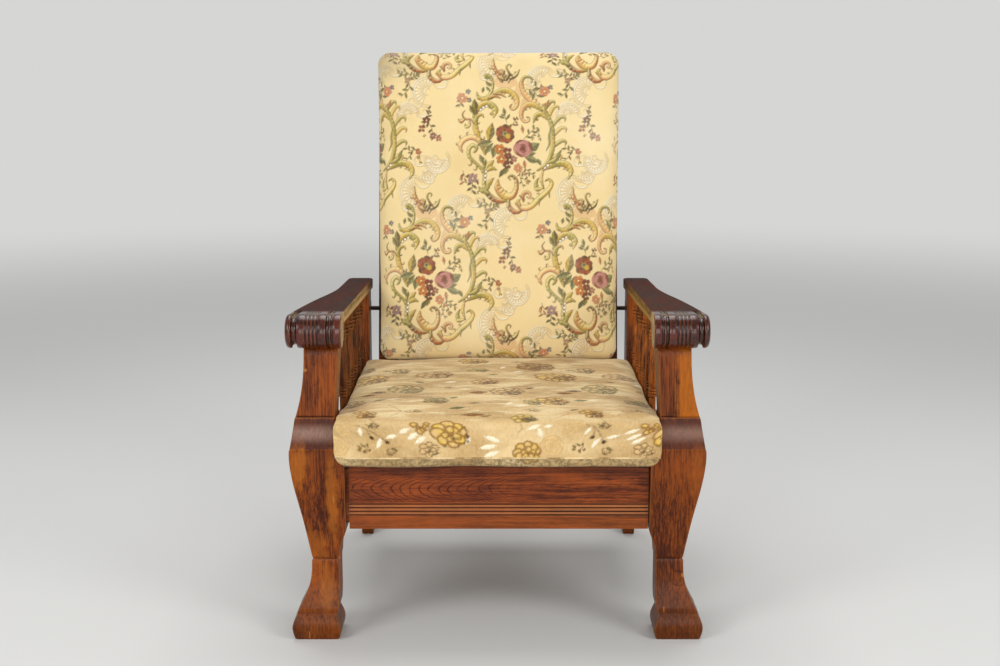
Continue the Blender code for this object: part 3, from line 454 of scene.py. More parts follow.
class ArmchairWood(bpy.types.PropertyGroup):
    """Sizes and stains of the oak"""

    arris: length("Arris", "Radius of the worn edges of the front legs", 0.0022, 0.0005, 0.006)
    board_edge: length("Board edge", "Radius of the edges of the rails and slats", 0.0015, 0.0003, 0.004)
    roll_end: length("Roll end", "Radius of the round edges of the arm rolls' ends", 0.0085, 0.001, 0.010)
    arm_edge: length("Arm edge", "Radius of the long edges of the arms", 0.0030, 0.001, 0.008)
    leg_dark: colour("Leg, dark grain", "Stain in the pores of the legs", "#3A1406")
    leg_light: colour("Leg, light grain", "Stain between the pores of the legs", "#8C440E")
    arm_dark: colour("Arm, dark grain", "Stain in the pores of the arms", "#180602")
    arm_light: colour("Arm, light grain", "Stain between the pores of the arms", "#5C1C08")
    rail_dark: colour("Rail, dark grain", "Stain in the pores of the rails", "#401608")
    rail_light: colour("Rail, light grain", "Stain between the pores of the rails", "#924618")
    spindle_dark: colour("Spindle, dark grain", "Stain in the spindles' grooves", "#2A0F05")
    spindle_light: colour("Spindle, light grain", "Stain on the spindles", "#96501A")
    bare_dark: colour("Bare oak, dark grain", "Unstained oak inside the frame", "#5A4028")
    bare_light: colour("Bare oak, light grain", "Unstained oak inside the frame", "#A07C52")
    worn: colour("Worn edge", "Oak where hands and knees have worn the stain away", "#AA7038")


class ArmchairStage(bpy.types.PropertyGroup):
    """Light and camera"""

    lens: quantity("Lens", "Focal length", 55.08, 20, 200, subtype="DISTANCE_CAMERA")
    tilt: FloatProperty(
        name="Tilt", description="How far the camera looks down", default=math.radians(10.2), subtype="ANGLE"
    )
    lamp: FloatProperty(
        name="Lamps", description="Power of each soft lamp", default=60, min=0, subtype="POWER",
    )
    room: quantity("Room", "Strength of the light from all round", 0.42, 0, 2)
    ground: colour("Ground", "Floor", "#DADAD8")
    backdrop: colour("Backdrop", "What is seen beyond the floor", "#D6D6D4")


def wood():
    return bpy.context.scene.armchair_wood


# Oak


def oak(
    name, dark, light, grain, pith, *, tilt, ring, figure, extra, gloss=0.42, coat=0.05, rub=0.25, shine=0.15,
    tint="#FFFFFF", relief=0.6,
):
    """Stained oak. The grain runs along an axis, and the rings lie about a tilted pith off to the side."""
    finish = Finish(
        name, Coat_Weight=coat, Coat_Roughness=0.24, Specular_IOR_Level=shine,
        Specular_Tint=(*paint(tint), 1.0),
    )
    place = finish.place()
    axes = finish.parts(place)
    along = axes["XYZ".index(grain)]
    first, second = [axes["XYZ".index(axis)] for axis in "XYZ" if axis != grain]
    lie = finish.vector(first, second, along)

    def streaks(shift, stretch, *texture):
        """Noise that is drawn out along the grain."""
        return finish.noise(finish.moved(lie, shift, (1, 1, stretch)), *texture)

    slow = streaks(pith + (0.3,), 0.45, 9.0)
    wander = streaks((0.7, 0.1, 0.2), 0.25, 60.0, 3.0)
    across = first - pith[0] + along * tilt[0] + (slow - 0.5) * 0.034 + (wander - 0.5) * 0.005
    deep = second - pith[1] + along * tilt[1] + (slow - 0.5) * 0.024
    rings = finish.fraction(finish.length(finish.vector(across, deep, 0.0)) / ring)
    broken = finish.step(streaks((0.3, 0.3, 0.9), 0.3, 70.0, 3.0), 0.30, 0.62)
    porous = finish.step(rings, 0.0, 0.06) * (1 - finish.step(rings, 0.08, 0.24)) * broken
    pores = streaks((0, 0, 0), 0.05, 1300.0, 1.0)
    open_pores = finish.step(pores, 0.52, 0.68) * (porous * 0.6 + 0.25)
    fibres = streaks((0.2, 0.5, 0.1), 0.030, 300.0, 3.0, 0.6)
    fine = streaks((0.9, 0.2, 0.4), 0.045, 1100.0, 2.0, 0.6)
    cloud = streaks((0.4, 0.8, 0.6), 0.4, 16.0, 4.0, 0.6)
    tone = (
        (fibres - 0.5) * 1.9 + (fine - 0.5) * 1.1 + (cloud - 0.5) * 1.7 + 0.62 - rings * 0.12
        - porous * figure
    )
    shade = finish.mix(finish.step(tone, 0.0, 1.0), dark, light)
    amber = finish.step(cloud + (fibres - 0.5) * 0.7, 0.54, 0.80)
    shade = finish.mix(amber * 0.42, shade, warmed(light))
    flecks = streaks((0.6, 0.3, 0.8), 0.12, 420.0, 2.0, 0.6)
    shade = finish.mix(finish.step(flecks, 0.58, 0.72) * 0.22, shade, warmed(warmed(light)))
    shade = finish.mix(open_pores * 0.55, shade, dimmed(dark, 0.6))
    edge = finish.attribute("edge")
    ragged = finish.noise(place, 180.0, 4.0, 0.7)
    rubbed = finish.step(edge + (ragged - 0.5) * 0.6, 0.22, 0.62)
    hollow = finish.step(0.0 - edge, 0.08, 0.5)
    shade = finish.mix(rubbed * rub, shade, wood().worn)
    # Hollows are painted much darker: grime lodged in them, and painted shade.
    shade = finish.mix(hollow * 0.75, shade, dimmed(dark, 0.35))
    rough = gloss + (cloud - 0.5) * 0.25 + open_pores * 0.2 + hollow * 0.25
    shade, rough = extra(finish, place, shade, rough)
    height = (fibres - 0.5) * 0.3 + (fine - 0.5) * 0.3 - open_pores
    normal = finish.bump(height, 0.00020)
    normal.socket.node.inputs["Strength"].default_value = relief
    return finish.wear(Base_Color=shade, Roughness=rough, Normal=normal)


# Front legs

# Heights at which the front legs' outlines have a corner; between them they run smoothly
LEG_CORNERS = (
    0.0480, 0.0520, 0.0535, 0.0600, 0.1505, 0.1550, 0.1595, 0.2140, 0.2450, 0.3430, 0.3685, 0.3695, 0.3735,
    0.3745, 0.4280, 0.4315, 0.4320, 0.4325,
)
LEG_SPACING = 0.0028
LEG_TOP = 0.5985
FOOT_EDGE = 0.0016
# Chips and scratches: place and half sizes
CHIPS = {
    "left": (
        ((-0.3579, -0.40, 0.5211), (0.004, 0.05, 0.003)), ((-0.3018, -0.40, 0.1563), (0.002, 0.05, 0.0025)),
        ((-0.358, -0.40, 0.0089), (0.0012, 0.05, 0.009)), ((-0.309, -0.40, 0.2759), (0.001, 0.05, 0.007)),
    ),
    "right": (
        ((0.3532, -0.40, 0.1227), (0.0032, 0.05, 0.0042)), ((0.3165, -0.40, 0.059), (0.001, 0.05, 0.006)),
        ((0.3673, -0.40, -0.0012), (0.003, 0.05, 0.002)),
    ),
}


def front_leg_skin(node):
    """The leg as rings whose sides are those of the CAD leg's section at each height, made smooth."""
    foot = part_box(node)[0].z
    corners = [foot, *LEG_CORNERS, LEG_TOP]
    levels, spans = [foot], []
    for start, stop in zip(corners, corners[1:]):
        count = max(1, round((stop - start) / LEG_SPACING))
        spans.append((len(levels) - 1, len(levels) - 1 + count))
        levels += [start + (stop - start) * step / count for step in range(1, count + 1)]
    limits = sections(node, np.clip(levels, foot + 0.00005, LEG_TOP))
    low, high = limits[:, 0, :2], limits[:, 1, :2]
    for start, stop in spans:
        for side in (low, high):
            for axis in range(2):
                side[start : stop + 1, axis] = eased(side[start : stop + 1, axis])
    rings = []
    radius = wood().arris
    for level, near, far in zip(levels, low, high):
        inset = max(0.0, FOOT_EDGE - (level - foot)) * 0.7
        flat = rounded_rectangle(near + inset, far - inset, radius, (16, 14))
        rings.append(np.column_stack([flat, np.full(len(flat), level)]))
    return loft(rings)


class ARMCHAIR_OT_front_legs(bpy.types.Operator):
    """Make the two sawn front legs, with their knees, waists and block feet"""

    bl_idname = "armchair.front_legs"
    bl_label = "Front legs"

    def execute(self, context):
        for side_name, side in SIDES:
            node = f"front_leg_{side_name}"
            material = front_leg_oak(side_name, side)
            piece = finished_mesh(f"front_leg_{side_name}_oak", *front_leg_skin(node), material, 30)
            stands_for(piece, "stained_oak_legs", node)
        return {"FINISHED"}


def front_leg_oak(side_name, side):
    """The left leg is browner with orange patches, the right one redder with a strong figure."""
    w = wood()

    def marks(finish, place, shade, rough):
        x, y, z = finish.parts(place)
        ragged = (finish.noise(place, 90.0, 4.0, 0.65) - 0.5) * 0.012
        # The shoulder band between the knee lines is painted darker: painted shade.
        shaded_band = (
            finish.step(z + ragged * 0.3, 0.373, 0.3765) * (1 - finish.step(z + ragged * 0.3, 0.4275, 0.4315))
        )
        shade = finish.mix(shaded_band * 0.70, shade, paint("#421C12"))
        streaks = finish.noise(finish.moved(place, scale=(1, 1, 0.05)), 420.0, 2.0)
        # A broad paler streak across the middle of the shoulder band: a painted highlight.
        painted_highlight = finish.step(z, 0.380, 0.402) * (1 - finish.step(z, 0.404, 0.424))
        shade = finish.mix(painted_highlight * (0.14 + streaks * (0.46 if side < 0 else 0.24)), shade, paint("#BE9C8A"))
        foot = 1 - finish.step(z + ragged, 0.040, 0.155)
        shade = finish.mix(foot * 0.38, shade, paint("#5E3210"))
        grime = finish.step(finish.noise(place, 26.0, 5.0, 0.62), 0.52, 0.74)
        shade = finish.mix(grime * 0.30, shade, paint("#3A180A"))
        if side < 0:
            for middle, radii, amount in (
                ((-0.372, -0.39, 0.340), (0.014, 0.06, 0.042), 0.50),
                ((-0.312, -0.39, 0.280), (0.010, 0.06, 0.080), 0.45),
                ((-0.345, -0.39, 0.180), (0.020, 0.06, 0.026), 0.30),
                ((-0.326, -0.39, 0.100), (0.014, 0.06, 0.040), 0.35),
            ):
                patch = finish.spot(place, middle, radii, 0.8, 0.5, 60.0)
                shade = finish.mix(patch * amount, shade, paint("#B4661A"))
        else:
            strip = (
                finish.step(x + ragged * 1.5 + (streaks - 0.5) * 0.022, 0.3300, 0.3440)
                * finish.step(z, 0.430, 0.434)
            )
            strip = strip * (1 - finish.step(y + ragged, -0.396, -0.372) * 0.8)
            shade = finish.mix(strip * (0.40 + streaks * 0.8), shade, paint("#CC7208"))
            patch = finish.spot(place, (0.374, -0.39, 0.330), (0.012, 0.06, 0.050), 0.8, 0.5, 60.0)
            shade = finish.mix(patch * 0.30, shade, paint("#A8581A"))
        for middle, radii in CHIPS[side_name]:
            chip = finish.spot(place, middle, radii, 0.5, 0.3, 400.0)
            shade = finish.mix(chip * 0.75, shade, w.worn)
        return shade, rough + shaded_band * 0.10

    pith = (side * 0.345 + 0.012 * side, -0.30)
    return oak(
        f"oak_front_leg_{side_name}",
        w.leg_dark,
        dimmed(w.leg_light, 1.0 if side < 0 else 0.80),
        "Z",
        pith,
        tilt=(0.03 * side, 0.10 if side > 0 else 0.06),
        ring=0.0048 if side > 0 else 0.0040,
        figure=0.34 if side > 0 else 0.22,
        gloss=0.38,
        extra=marks,
    )


# Arms

ARM_THICKNESS = 0.022
ARM_SLOPE = math.radians(2.75)
ROLL_RADIUS = 0.032
ROLL_AXIS = Vector((0, 0.012, 0.5965))  # its depth counts from the knees
KNEES = -0.402253  # where the knees of the front legs stand in depth
ARM_INNER = 0.287
ROLL_OUTER = 0.390
# Places along the arm count from the roll's axis, here with the outer edge's distance from the chair's middle
ARM_OUTER = (
    (0.0, 0.3895), (0.060, 0.3855), (0.165, 0.3765), (0.272, 0.3650), (0.352, 0.3545), (0.450, 0.3460),
    (0.560, 0.3450), (0.7068, 0.3450),
)
ARM_END = 0.7068
ARM_CORNER = 0.015
FINE_SPAN = 0.075  # how far back from the roll's axis the arm's points lie close together
# Grooves round each roll: distance from its outer end, radius of the cut, depth, run back over the arm
ROLL_GROOVES = (
    (0.0165, 0.0056, 0.0062, 0.062),
    (0.0385, 0.0016, 0.0018, 0.040),
    (0.0455, 0.0016, 0.0018, 0.040),
    (0.0525, 0.0016, 0.0018, 0.040),
    (0.0595, 0.0016, 0.0018, 0.040),
    (0.0785, 0.0030, 0.0036, 0.050),
    (0.0865, 0.0022, 0.0024, 0.044),
)


def smooth_curve(places, values, at):
    """A curve without corners through the values."""
    places, values = np.array(places, float), np.array(values, float)
    slopes = np.gradient(values, places)
    index = np.clip(np.searchsorted(places, at) - 1, 0, len(places) - 2)
    step = places[index + 1] - places[index]
    part = np.clip((at - places[index]) / step, 0, 1)
    return (
        (2 * part**3 - 3 * part**2 + 1) * values[index]
        + (part**3 - 2 * part**2 + part) * step * slopes[index]
        + (3 * part**2 - 2 * part**3) * values[index + 1]
        + (part**3 - part**2) * step * slopes[index + 1]
    )


def arm_columns():
    """Places across the roll, from 0 at its inner end to its length, closest together in the grooves."""
    width = ROLL_OUTER - ARM_INNER
    places = {0.0, width}
    for angle in np.radians(np.linspace(0, 90, 6)):
        for radius in (wood().arm_edge, wood().roll_end):
            places.add(round(radius * (1 - math.cos(angle)), 6))
            places.add(round(width - radius * (1 - math.cos(angle)), 6))
    for inwards, radius, _, _ in ROLL_GROOVES:
        for angle in np.radians(np.linspace(-90, 90, 13 if radius > 0.004 else 9)):
            places.add(round(width - inwards + radius * math.sin(angle), 6))
        for more in (-0.0004, 0.0004):
            places.add(round(width - inwards + math.copysign(radius, more) + more, 6))
    places = sorted(places)
    filled = [places[0]]
    for place in places[1:]:
        if place - filled[-1] > 0.00008:
            filled += spread(filled[-1], place, 0.0035)[1:]
    return np.array(filled)


def arm_profile(inset):
    """The arm seen from the side, drawn in by inset: (along, up) points of its top, roll and underside."""
    radius, under = ROLL_RADIUS - inset, ROLL_RADIUS - ARM_THICKNESS + inset
    end = ARM_END - inset
    meets = math.sqrt(radius**2 - under**2)
    last = 360 + math.degrees(math.asin(under / radius))
    far = np.linspace(FINE_SPAN, end - 0.002, 58)[1:].tolist() + [end - 0.0009, end]
    drop = np.zeros(len(far))
    drop[-3:] = (0.0, 0.0005, 0.0022)
    flats = np.array(np.linspace(0, FINE_SPAN, 26)[1:].tolist() + far)
    below = np.array(np.linspace(meets, FINE_SPAN, 16)[1:].tolist() + far)
    top = np.column_stack([flats, np.full(len(flats), radius) - np.pad(drop, (25, 0))])[::-1]
    turns = np.radians(np.linspace(90, last, 74))
    roll = np.column_stack([radius * np.cos(turns), radius * np.sin(turns)])
    bottom = np.column_stack([below, np.full(len(below), under) + np.pad(drop, (15, 0))])
    return top, roll, bottom


def groove_depth(columns, along, up, width):
    """How deep the grooves are cut at each point of the arm."""
    depth = np.zeros_like(along)
    turn = np.degrees(np.arctan2(up, along)) % 360
    turn = np.where(turn < 60, turn + 360, turn)
    on_roll = (along < 1e-6) | (up < 0.004)
    for inwards, radius, deepest, run in ROLL_GROOVES:
        shoulder = (
            np.exp(-((np.maximum(np.abs(columns - (width - inwards)) - radius, 0) / 0.0018) ** 2)) * 0.0009
        )
        fades = np.clip((along - run * 0.12) / (run * 0.88), 0, 1)
        there = np.where(on_roll, deepest, deepest - (fades**1.5) * (deepest + 0.0003))
        ending = np.clip((turn - 312) / 16, 0, 1) * (deepest + 0.0003)
        there = np.where(on_roll & (turn > 312), deepest - ending, there)
        there = np.where((up < ROLL_RADIUS - 0.006) & ~on_roll, -1.0, there)
        across = columns - (width - inwards)
        inside = np.clip(1 - (across / radius) ** 2, 0, None)
        cut = np.where(np.abs(across) < radius, there - radius + radius * np.sqrt(inside), 0)
        depth = np.maximum(depth, cut + shoulder * np.clip(there / deepest, 0, 1))
    return depth


def arm_skin(side):
    """The board and its roll as one skin of rings across, closed by ladders of faces at both ends."""
    width = ROLL_OUTER - ARM_INNER
    columns = arm_columns()
    places, outers = zip(*ARM_OUTER)
    rings = []
    for column in columns:
        inset = 0.0
        for distance, radius in ((column, wood().arm_edge), (width - column, wood().roll_end)):
            if distance < radius:
                inset = max(inset, radius - math.sqrt(max(radius**2 - (radius - distance) ** 2, 0)))
        top, roll, bottom = arm_profile(inset)
        ring = np.concatenate([top, roll, bottom])
        along, up = ring[:, 0].copy(), ring[:, 1].copy()
        depth = groove_depth(np.full(len(ring), column), along, up, width)
        rolled = (along < 0) | (up < ROLL_RADIUS - ARM_THICKNESS - 1e-6)
        outwards = np.where(rolled[:, None], ring / np.linalg.norm(ring, axis=1, keepdims=True), [0.0, 1.0])
        ring = ring - outwards * depth[:, None]
        outer = np.where(along <= 0, ROLL_OUTER, smooth_curve(places, outers, np.maximum(along, 0)))
        outer = np.where(rolled & (along > 0), ROLL_OUTER, outer)
        outer = np.minimum(outer, ROLL_OUTER)
        part = column / width
        across = ARM_INNER + part * (outer - ARM_INNER)
        # The rear corners are rounded when seen from above
        back = ARM_END - along
        corner = np.clip(ARM_CORNER - back, 0, ARM_CORNER)
        pull = ARM_CORNER - np.sqrt(np.maximum(ARM_CORNER**2 - corner**2, 0))
        middle = (ARM_INNER + outer) / 2
        half = (outer - ARM_INNER) / 2
        across = middle + (across - middle) * (half - pull) / half
        rings.append(np.column_stack([across, ring]))
    rings = np.array(rings)
    points, faces = loft(rings, closed_ends=False)
    around = rings.shape[1]
    for first in (0, (len(rings) - 1) * around):
        faces += ladder(first, around)
    slope = np.array(
        [[math.cos(ARM_SLOPE), math.sin(ARM_SLOPE)], [-math.sin(ARM_SLOPE), math.cos(ARM_SLOPE)]]
    )
    lie = points[:, 1:] @ slope.T
    points = np.column_stack([side * points[:, 0], lie[:, 0] + ROLL_AXIS.y + KNEES, lie[:, 1] + ROLL_AXIS.z])
    return points, faces


def ladder(first, around):
    """Faces that close the end ring from its rear end to the front of the roll, rung by rung."""
    faces = []
    low, high = 0, around - 1
    while high - low > 2:
        faces.append([first + low, first + low + 1, first + high - 1, first + high])
        low, high = low + 1, high - 1
    if high - low == 2:
        faces.append([first + low, first + low + 1, first + high])
    return faces


class ARMCHAIR_OT_arms(bpy.types.Operator):
    """Make the two sloping arms with their grooved rolls"""

    bl_idname = "armchair.arms"
    bl_label = "Arms"

    def execute(self, context):
        for side_name, side in SIDES:
            piece = finished_mesh(f"arm_{side_name}_oak", *arm_skin(side), arm_oak(side_name, side), 40)
            stands_for(piece, "dark_oak_arms", f"arm_{side_name}")
        return {"FINISHED"}


def arm_oak(side_name, side):
    """Dark and glossy on the rolls, matt on top, and rubbed to pale wood along the inner faces."""
    w = wood()

    def marks(finish, place, shade, rough):
        x, y, z = finish.parts(place)
        out = x * side
        ragged = (finish.noise(place, 70.0, 4.0, 0.65) - 0.5) * 0.010
        behind = finish.step(y + ragged, -0.375, -0.335)
        inner = (1 - finish.step(out + ragged * 0.12, 0.2872, 0.2890)) * finish.step(y, -0.372, -0.352)
        fading = 1 - finish.step(y + ragged * 6.0, 0.02, 0.26) * 0.75
        bare = paint("#C4A06A" if side < 0 else "#9C7838")
        shade = finish.mix(inner * fading * 0.85, shade, bare)
        top = behind * finish.step(z + y * 0.048, 0.596, 0.600)
        streaks = finish.noise(finish.moved(place, scale=(1, 0.06, 1)), 210.0, 3.0)
        # The tops are darker; the right top is painted a little lighter than the left: a painted reflection.
        shade = finish.mix(
            top * (0.30 + finish.step(streaks, 0.40, 0.62) * 0.4), shade,
            paint("#2C180F" if side < 0 else "#382010"),
        )
        grime = finish.step(finish.noise(place, 30.0, 5.0, 0.62), 0.50, 0.75)
        shade = finish.mix(grime * 0.40, shade, paint("#200D08"))
        finish.wear(Coat_Weight=(1 - behind) * 0.9)
        return shade, behind * (rough + 0.20 + top * 0.14) + (1 - behind) * 0.25

    return oak(
        f"oak_arm_{side_name}",
        w.arm_dark,
        w.arm_light,
        "Y",
        (side * 0.330, 0.70),
        tilt=(0.01 * side, -0.18),
        ring=0.0030,
        figure=0.42,
        gloss=0.24,
        extra=marks,
        rub=0.05,
        shine=0.10,
        tint="#FFD4BC",
        relief=0.12,
    )


# Front rail

REED_HEIGHTS = tuple(0.2416 + step * 0.0071 for step in range(4))
REED_DEPTH = 0.0016
RAIL_EDGE = 0.0014
RAIL_SHRINKAGE = 0.004  # how much each end has shrunk back from its leg
RAIL_SHIFT = 0.002  # how far the rail has slid to the right in its joints
TENON_LAP = 0.004  # how far the tenons reach into the rail's ends
QUARTER_TURN = np.radians([0, 30, 60, 90])


def front_rail_skin():
    """The rail with its four grooves, and its tenons across the opened joints."""
    low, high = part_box("front_rail")
    leg_inner = -sections("front_leg_left", [0.28])[0, 1, 0]
    low.x, high.x = RAIL_SHIFT - leg_inner + RAIL_SHRINKAGE, RAIL_SHIFT + leg_inner - RAIL_SHRINKAGE
    outline = [(high.y - RAIL_EDGE, low.z), (high.y, low.z + RAIL_EDGE)]
    outline += [(high.y, z) for z in spread(low.z + 0.01, high.z - 0.01, 0.02)]
    outline += [(high.y, high.z - RAIL_EDGE), (high.y - RAIL_EDGE, high.z), (low.y + 0.010, high.z)]
    outline += [
        (low.y + RAIL_EDGE * (1 - math.sin(a)), high.z - RAIL_EDGE * (1 - math.cos(a))) for a in QUARTER_TURN
    ]
    outline += [(low.y, z) for z in reversed(spread(REED_HEIGHTS[-1] + 0.0026, high.z - 0.004, 0.006))]
    for middle in reversed(REED_HEIGHTS):
        for angle in np.radians(np.linspace(90, -90, 9)):
            outline.append((low.y + REED_DEPTH * math.cos(angle), middle + 0.0015 * math.sin(angle)))
        outline.append((low.y, middle - 0.0028))
    outline += [(low.y, z) for z in reversed(spread(low.z + 0.004, REED_HEIGHTS[0] - 0.0056, 0.006))]
    outline += [
        (low.y + RAIL_EDGE * (1 - math.cos(a)), low.z + RAIL_EDGE * (1 - math.sin(a))) for a in QUARTER_TURN
    ]
    outline = np.array(outline)
    across = spread(low.x, high.x, 0.010, close=(0.0008, 0.003))
    rings = [np.column_stack([np.full(len(outline), x), outline]) for x in across]
    points, faces = loft(rings)
    middle = (low.y + high.y) / 2
    for end in (-1, 1):
        start = high.x - TENON_LAP if end > 0 else low.x + TENON_LAP
        stop = end * (leg_inner + 0.003)
        lows = (min(start, stop), middle - 0.005, low.z + 0.013)
        highs = (max(start, stop), middle + 0.005, high.z - 0.013)
        more, more_faces = board(lows, highs, 0.0005)
        faces += [[corner + len(points) for corner in face] for face in more_faces]
        points = np.concatenate([points, more])
    return points, faces


class ARMCHAIR_OT_front_rail(bpy.types.Operator):
    """Make the reeded front rail with its shrunken joints"""

    bl_idname = "armchair.front_rail"
    bl_label = "Front rail"

    def execute(self, context):
        w = wood()

        def marks(finish, place, shade, rough):
            x, _, z = finish.parts(place)
            # Flat-sawn arches, their tips to the left along the middle of the board
            drift = finish.noise(finish.moved(place, scale=(0.5, 0, 1)), 16.0, 3.0)
            tremble = finish.noise(finish.moved(place, scale=(0.3, 0, 1)), 130.0, 2.0)
            rise = z - 0.2935 + (drift - 0.5) * 0.020
            tips = x - rise * rise * 99.0 + (drift - 0.5) * 0.05 + (tremble - 0.5) * 0.006
            arches = finish.fraction(tips / 0.0185)
            gaps = finish.step(
                finish.noise(finish.moved(place, (0.3, 0, 0.2), scale=(1, 0, 1)), 60.0, 3.0), 0.34, 0.60,
            )
            board = (
                finish.step(z, 0.2655, 0.2680) * (1 - finish.step(tips, -0.050, 0.03) * 0.75)
                * finish.step(tips, -0.38, -0.28)
            )
            lines = (1 - finish.step(arches, 0.10, 0.34)) * finish.step(arches, 0.0, 0.04)
            shade = finish.mix(lines * (gaps * 0.6 + 0.4) * board * 0.92, shade, paint("#260C04"))
            shade = finish.mix(finish.step(arches, 0.45, 0.95) * board * 0.20, shade, paint("#6A3216"))
            redder = 1 - finish.step(x, -0.12, 0.16)
            shade = finish.mix(redder * 0.18, shade, paint("#6E2C18"))
            # The reeds' ridges are painted paler: worn stain and a painted highlight.
            reeds = (
                finish.step(z, 0.2385, 0.2400) * (1 - finish.step(z, 0.2640, 0.2655))
                * finish.step(finish.attribute("edge"), -0.05, 0.10)
            )
            shade = finish.mix(reeds * 0.42, shade, paint("#B4764A"))
            # Dark patches along the top edge, under the seat cushion's front: painted shadow.
            for middle, radii in (
                ((-0.185, -0.38, 0.331), (0.050, 0.05, 0.010)), ((0.185, -0.38, 0.331), (0.070, 0.05, 0.010)),
            ):
                shade = finish.mix(
                    finish.spot(place, middle, radii, 0.8, 0.6, 50.0) * 0.5, shade, paint("#34160C"),
                )
            grime = finish.step(finish.noise(place, 22.0, 5.0, 0.62), 0.50, 0.76)
            shade = finish.mix(grime * 0.28, shade, paint("#38180C"))
            below = 1 - finish.step(z, 0.236, 0.240)
            return finish.mix(below * 0.30, shade, paint("#96501E")), rough

        material = oak(
            "oak_front_rail",
            w.rail_dark,
            w.rail_light,
            "X",
            (-0.43, 0.315),
            tilt=(0.035, 0.012),
            ring=0.0060,
            figure=0.10,
            gloss=0.40,
            extra=marks,
        )
        piece = finished_mesh("front_rail_oak", *front_rail_skin(), material, 30)
        stands_for(piece, "stained_oak_rails", "front_rail")
        return {"FINISHED"}


# Planed boards


JOINT_GAP = 0.0003


def side_rail_box(side_name):
    """The side rail between its shoulders, which stand against the front and the rear leg."""
    low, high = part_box(f"side_rail_{side_name}")
    low.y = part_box(f"front_leg_{side_name}")[1].y + JOINT_GAP
    high.y = sections(f"rear_leg_{side_name}", [(low.z + high.z) / 2])[0, 0, 1] - JOINT_GAP
    return low, high


def between(node, left, right, turn=None):
    """The box of a cross rail without its tenons: it stops at the inner faces of what holds it."""
    low, high = box_of(node, turn)
    low.x = box_of(left, turn)[1].x + JOINT_GAP
    high.x = box_of(right, turn)[0].x - JOINT_GAP
    return low, high


def board_piece(node, box, material, slot, turn=None):
    """A planed board that stands for a CAD node."""
    points, faces = board(*box, wood().board_edge)
    if turn is not None:
        points = moved_points(points, turn)
    stands_for(finished_mesh(f"{node}_oak", points, faces, material, 30), slot, node)


def rear_leg_skin(node):
    """The rear leg as rings that follow the rake of the CAD leg, rounded at its foot."""
    low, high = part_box(node)
    slope = math.tan(ARM_SLOPE)
    # The top slopes with the arm that it carries, so the section is whole only up to here
    top = high.z - 0.065 * slope - 0.002
    levels = [low.z] + spread(low.z + 0.0015, 0.235, 0.006) + spread(0.235, top, 0.010)[1:]
    limits = sections(node, np.clip(levels, low.z + 0.0001, top - 0.0001))
    rings = []
    for level, (near, far) in zip(levels, limits):
        inset = max(0.0, 0.0015 - (level - low.z)) * 0.7
        flat = rounded_rectangle(near[:2] + inset, far[:2] - inset, wood().board_edge, (5, 9))
        rings.append(np.column_stack([flat, np.full(len(flat), level)]))
    last = rings[-1]
    last[:, 2] = high.z - (last[:, 1] - last[:, 1].min()) * slope
    return loft(rings)


class ARMCHAIR_OT_boards(bpy.types.Operator):
    """Make the side and rear rails and the rear legs, and finish the slats, cleats and blocks inside"""

    bl_idname = "armchair.boards"
    bl_label = "Rails and rear legs"

    def execute(self, context):
        w = wood()
        for side_name, side in SIDES:
            rail = oak(
                f"oak_side_rail_{side_name}", w.rail_dark, w.rail_light, "Y",
                (side * 0.42, 0.33), tilt=(0.03, -0.05), ring=0.0038, figure=0.6, extra=old_grime(0.45),
            )
            board_piece(f"side_rail_{side_name}", side_rail_box(side_name), rail, "stained_oak_rails")
            leg = oak(
                f"oak_rear_leg_{side_name}", w.leg_dark, w.leg_light, "Z",
                (side * 0.36, 0.35), tilt=(0.02, 0.08), ring=0.0034, figure=0.5, extra=old_grime(0.6),
            )
            node = f"rear_leg_{side_name}"
            stands_for(finished_mesh(f"{node}_oak", *rear_leg_skin(node), leg, 30), "stained_oak_legs", node)
        bare = oak(
            "oak_inside", w.bare_dark, w.bare_light, "X", (0.05, 0.45),
            tilt=(0.02, 0.05), ring=0.0034, figure=0.5, gloss=0.68, extra=old_grime(0.5), coat=0.0,
        )
        rear = between("rear_rail", "rear_leg_left", "rear_leg_right")
        board_piece("rear_rail", rear, bare, "plain_oak_inside")
        for name, obj in NODES.items():
            if name.startswith(("seat_slat", "seat_cleat", "corner_block")):
                for slot in obj.material_slots:
                    slot.material = bare
        return {"FINISHED"}


def old_grime(amount):
    """Marks for a plain member: dirt in clouds, and darker towards the floor."""

    def marks(finish, place, shade, rough):
        z = finish.parts(place)[2]
        cloud = finish.noise(place, 18.0, 6.0, 0.65)
        dirt = finish.step(cloud, 0.42, 0.72) * amount
        low = (1 - finish.step(z, 0.0, 0.12)) * 0.35
        shade = finish.mix(finish.larger(dirt, low), shade, paint("#2B1A11"))
        return shade, rough + dirt * 0.15

    return marks


class ARMCHAIR_OT_back_frame(bpy.types.Operator):
    """Make the reclining back's stiles, rails and slats"""

    bl_idname = "armchair.back_frame"
    bl_label = "Back frame"

    def execute(self, context):
        w = wood()
        stile = oak(
            "oak_back_stiles", w.leg_dark, w.leg_light, "Z", (0.31, 0.55),
            tilt=(0.02, -0.21), ring=0.0036, figure=0.55, extra=old_grime(0.5),
        )
        rail = oak(
            "oak_back_rails", w.rail_dark, w.rail_light, "X", (0.50, 0.70),
            tilt=(0.02, 0.03), ring=0.0036, figure=0.6, extra=old_grime(0.5),
        )
        for side_name, _ in SIDES:
            node = f"back_stile_{side_name}"
            board_piece(node, box_of(node, LEAN), stile, "stained_oak_legs", LEAN)
        cross = ["back_bottom_rail", "back_top_rail", *(f"back_slat_{n}" for n in range(1, 5))]
        for node in cross:
            inner = between(node, "back_stile_left", "back_stile_right", LEAN)
            board_piece(node, inner, rail, "stained_oak_rails", LEAN)
        return {"FINISHED"}


# Spindles

SPINDLE_FOOT = 0.0065
SPINDLE_RING = 0.0085
SPINDLE_SWELL = 0.0087
SPINDLE_NECK = 0.0050
SPINDLE_TENON = 0.0045
SPINDLE_ROOT = SPINDLE_FOOT - 0.0006  # the radius at the roots of the lower rings


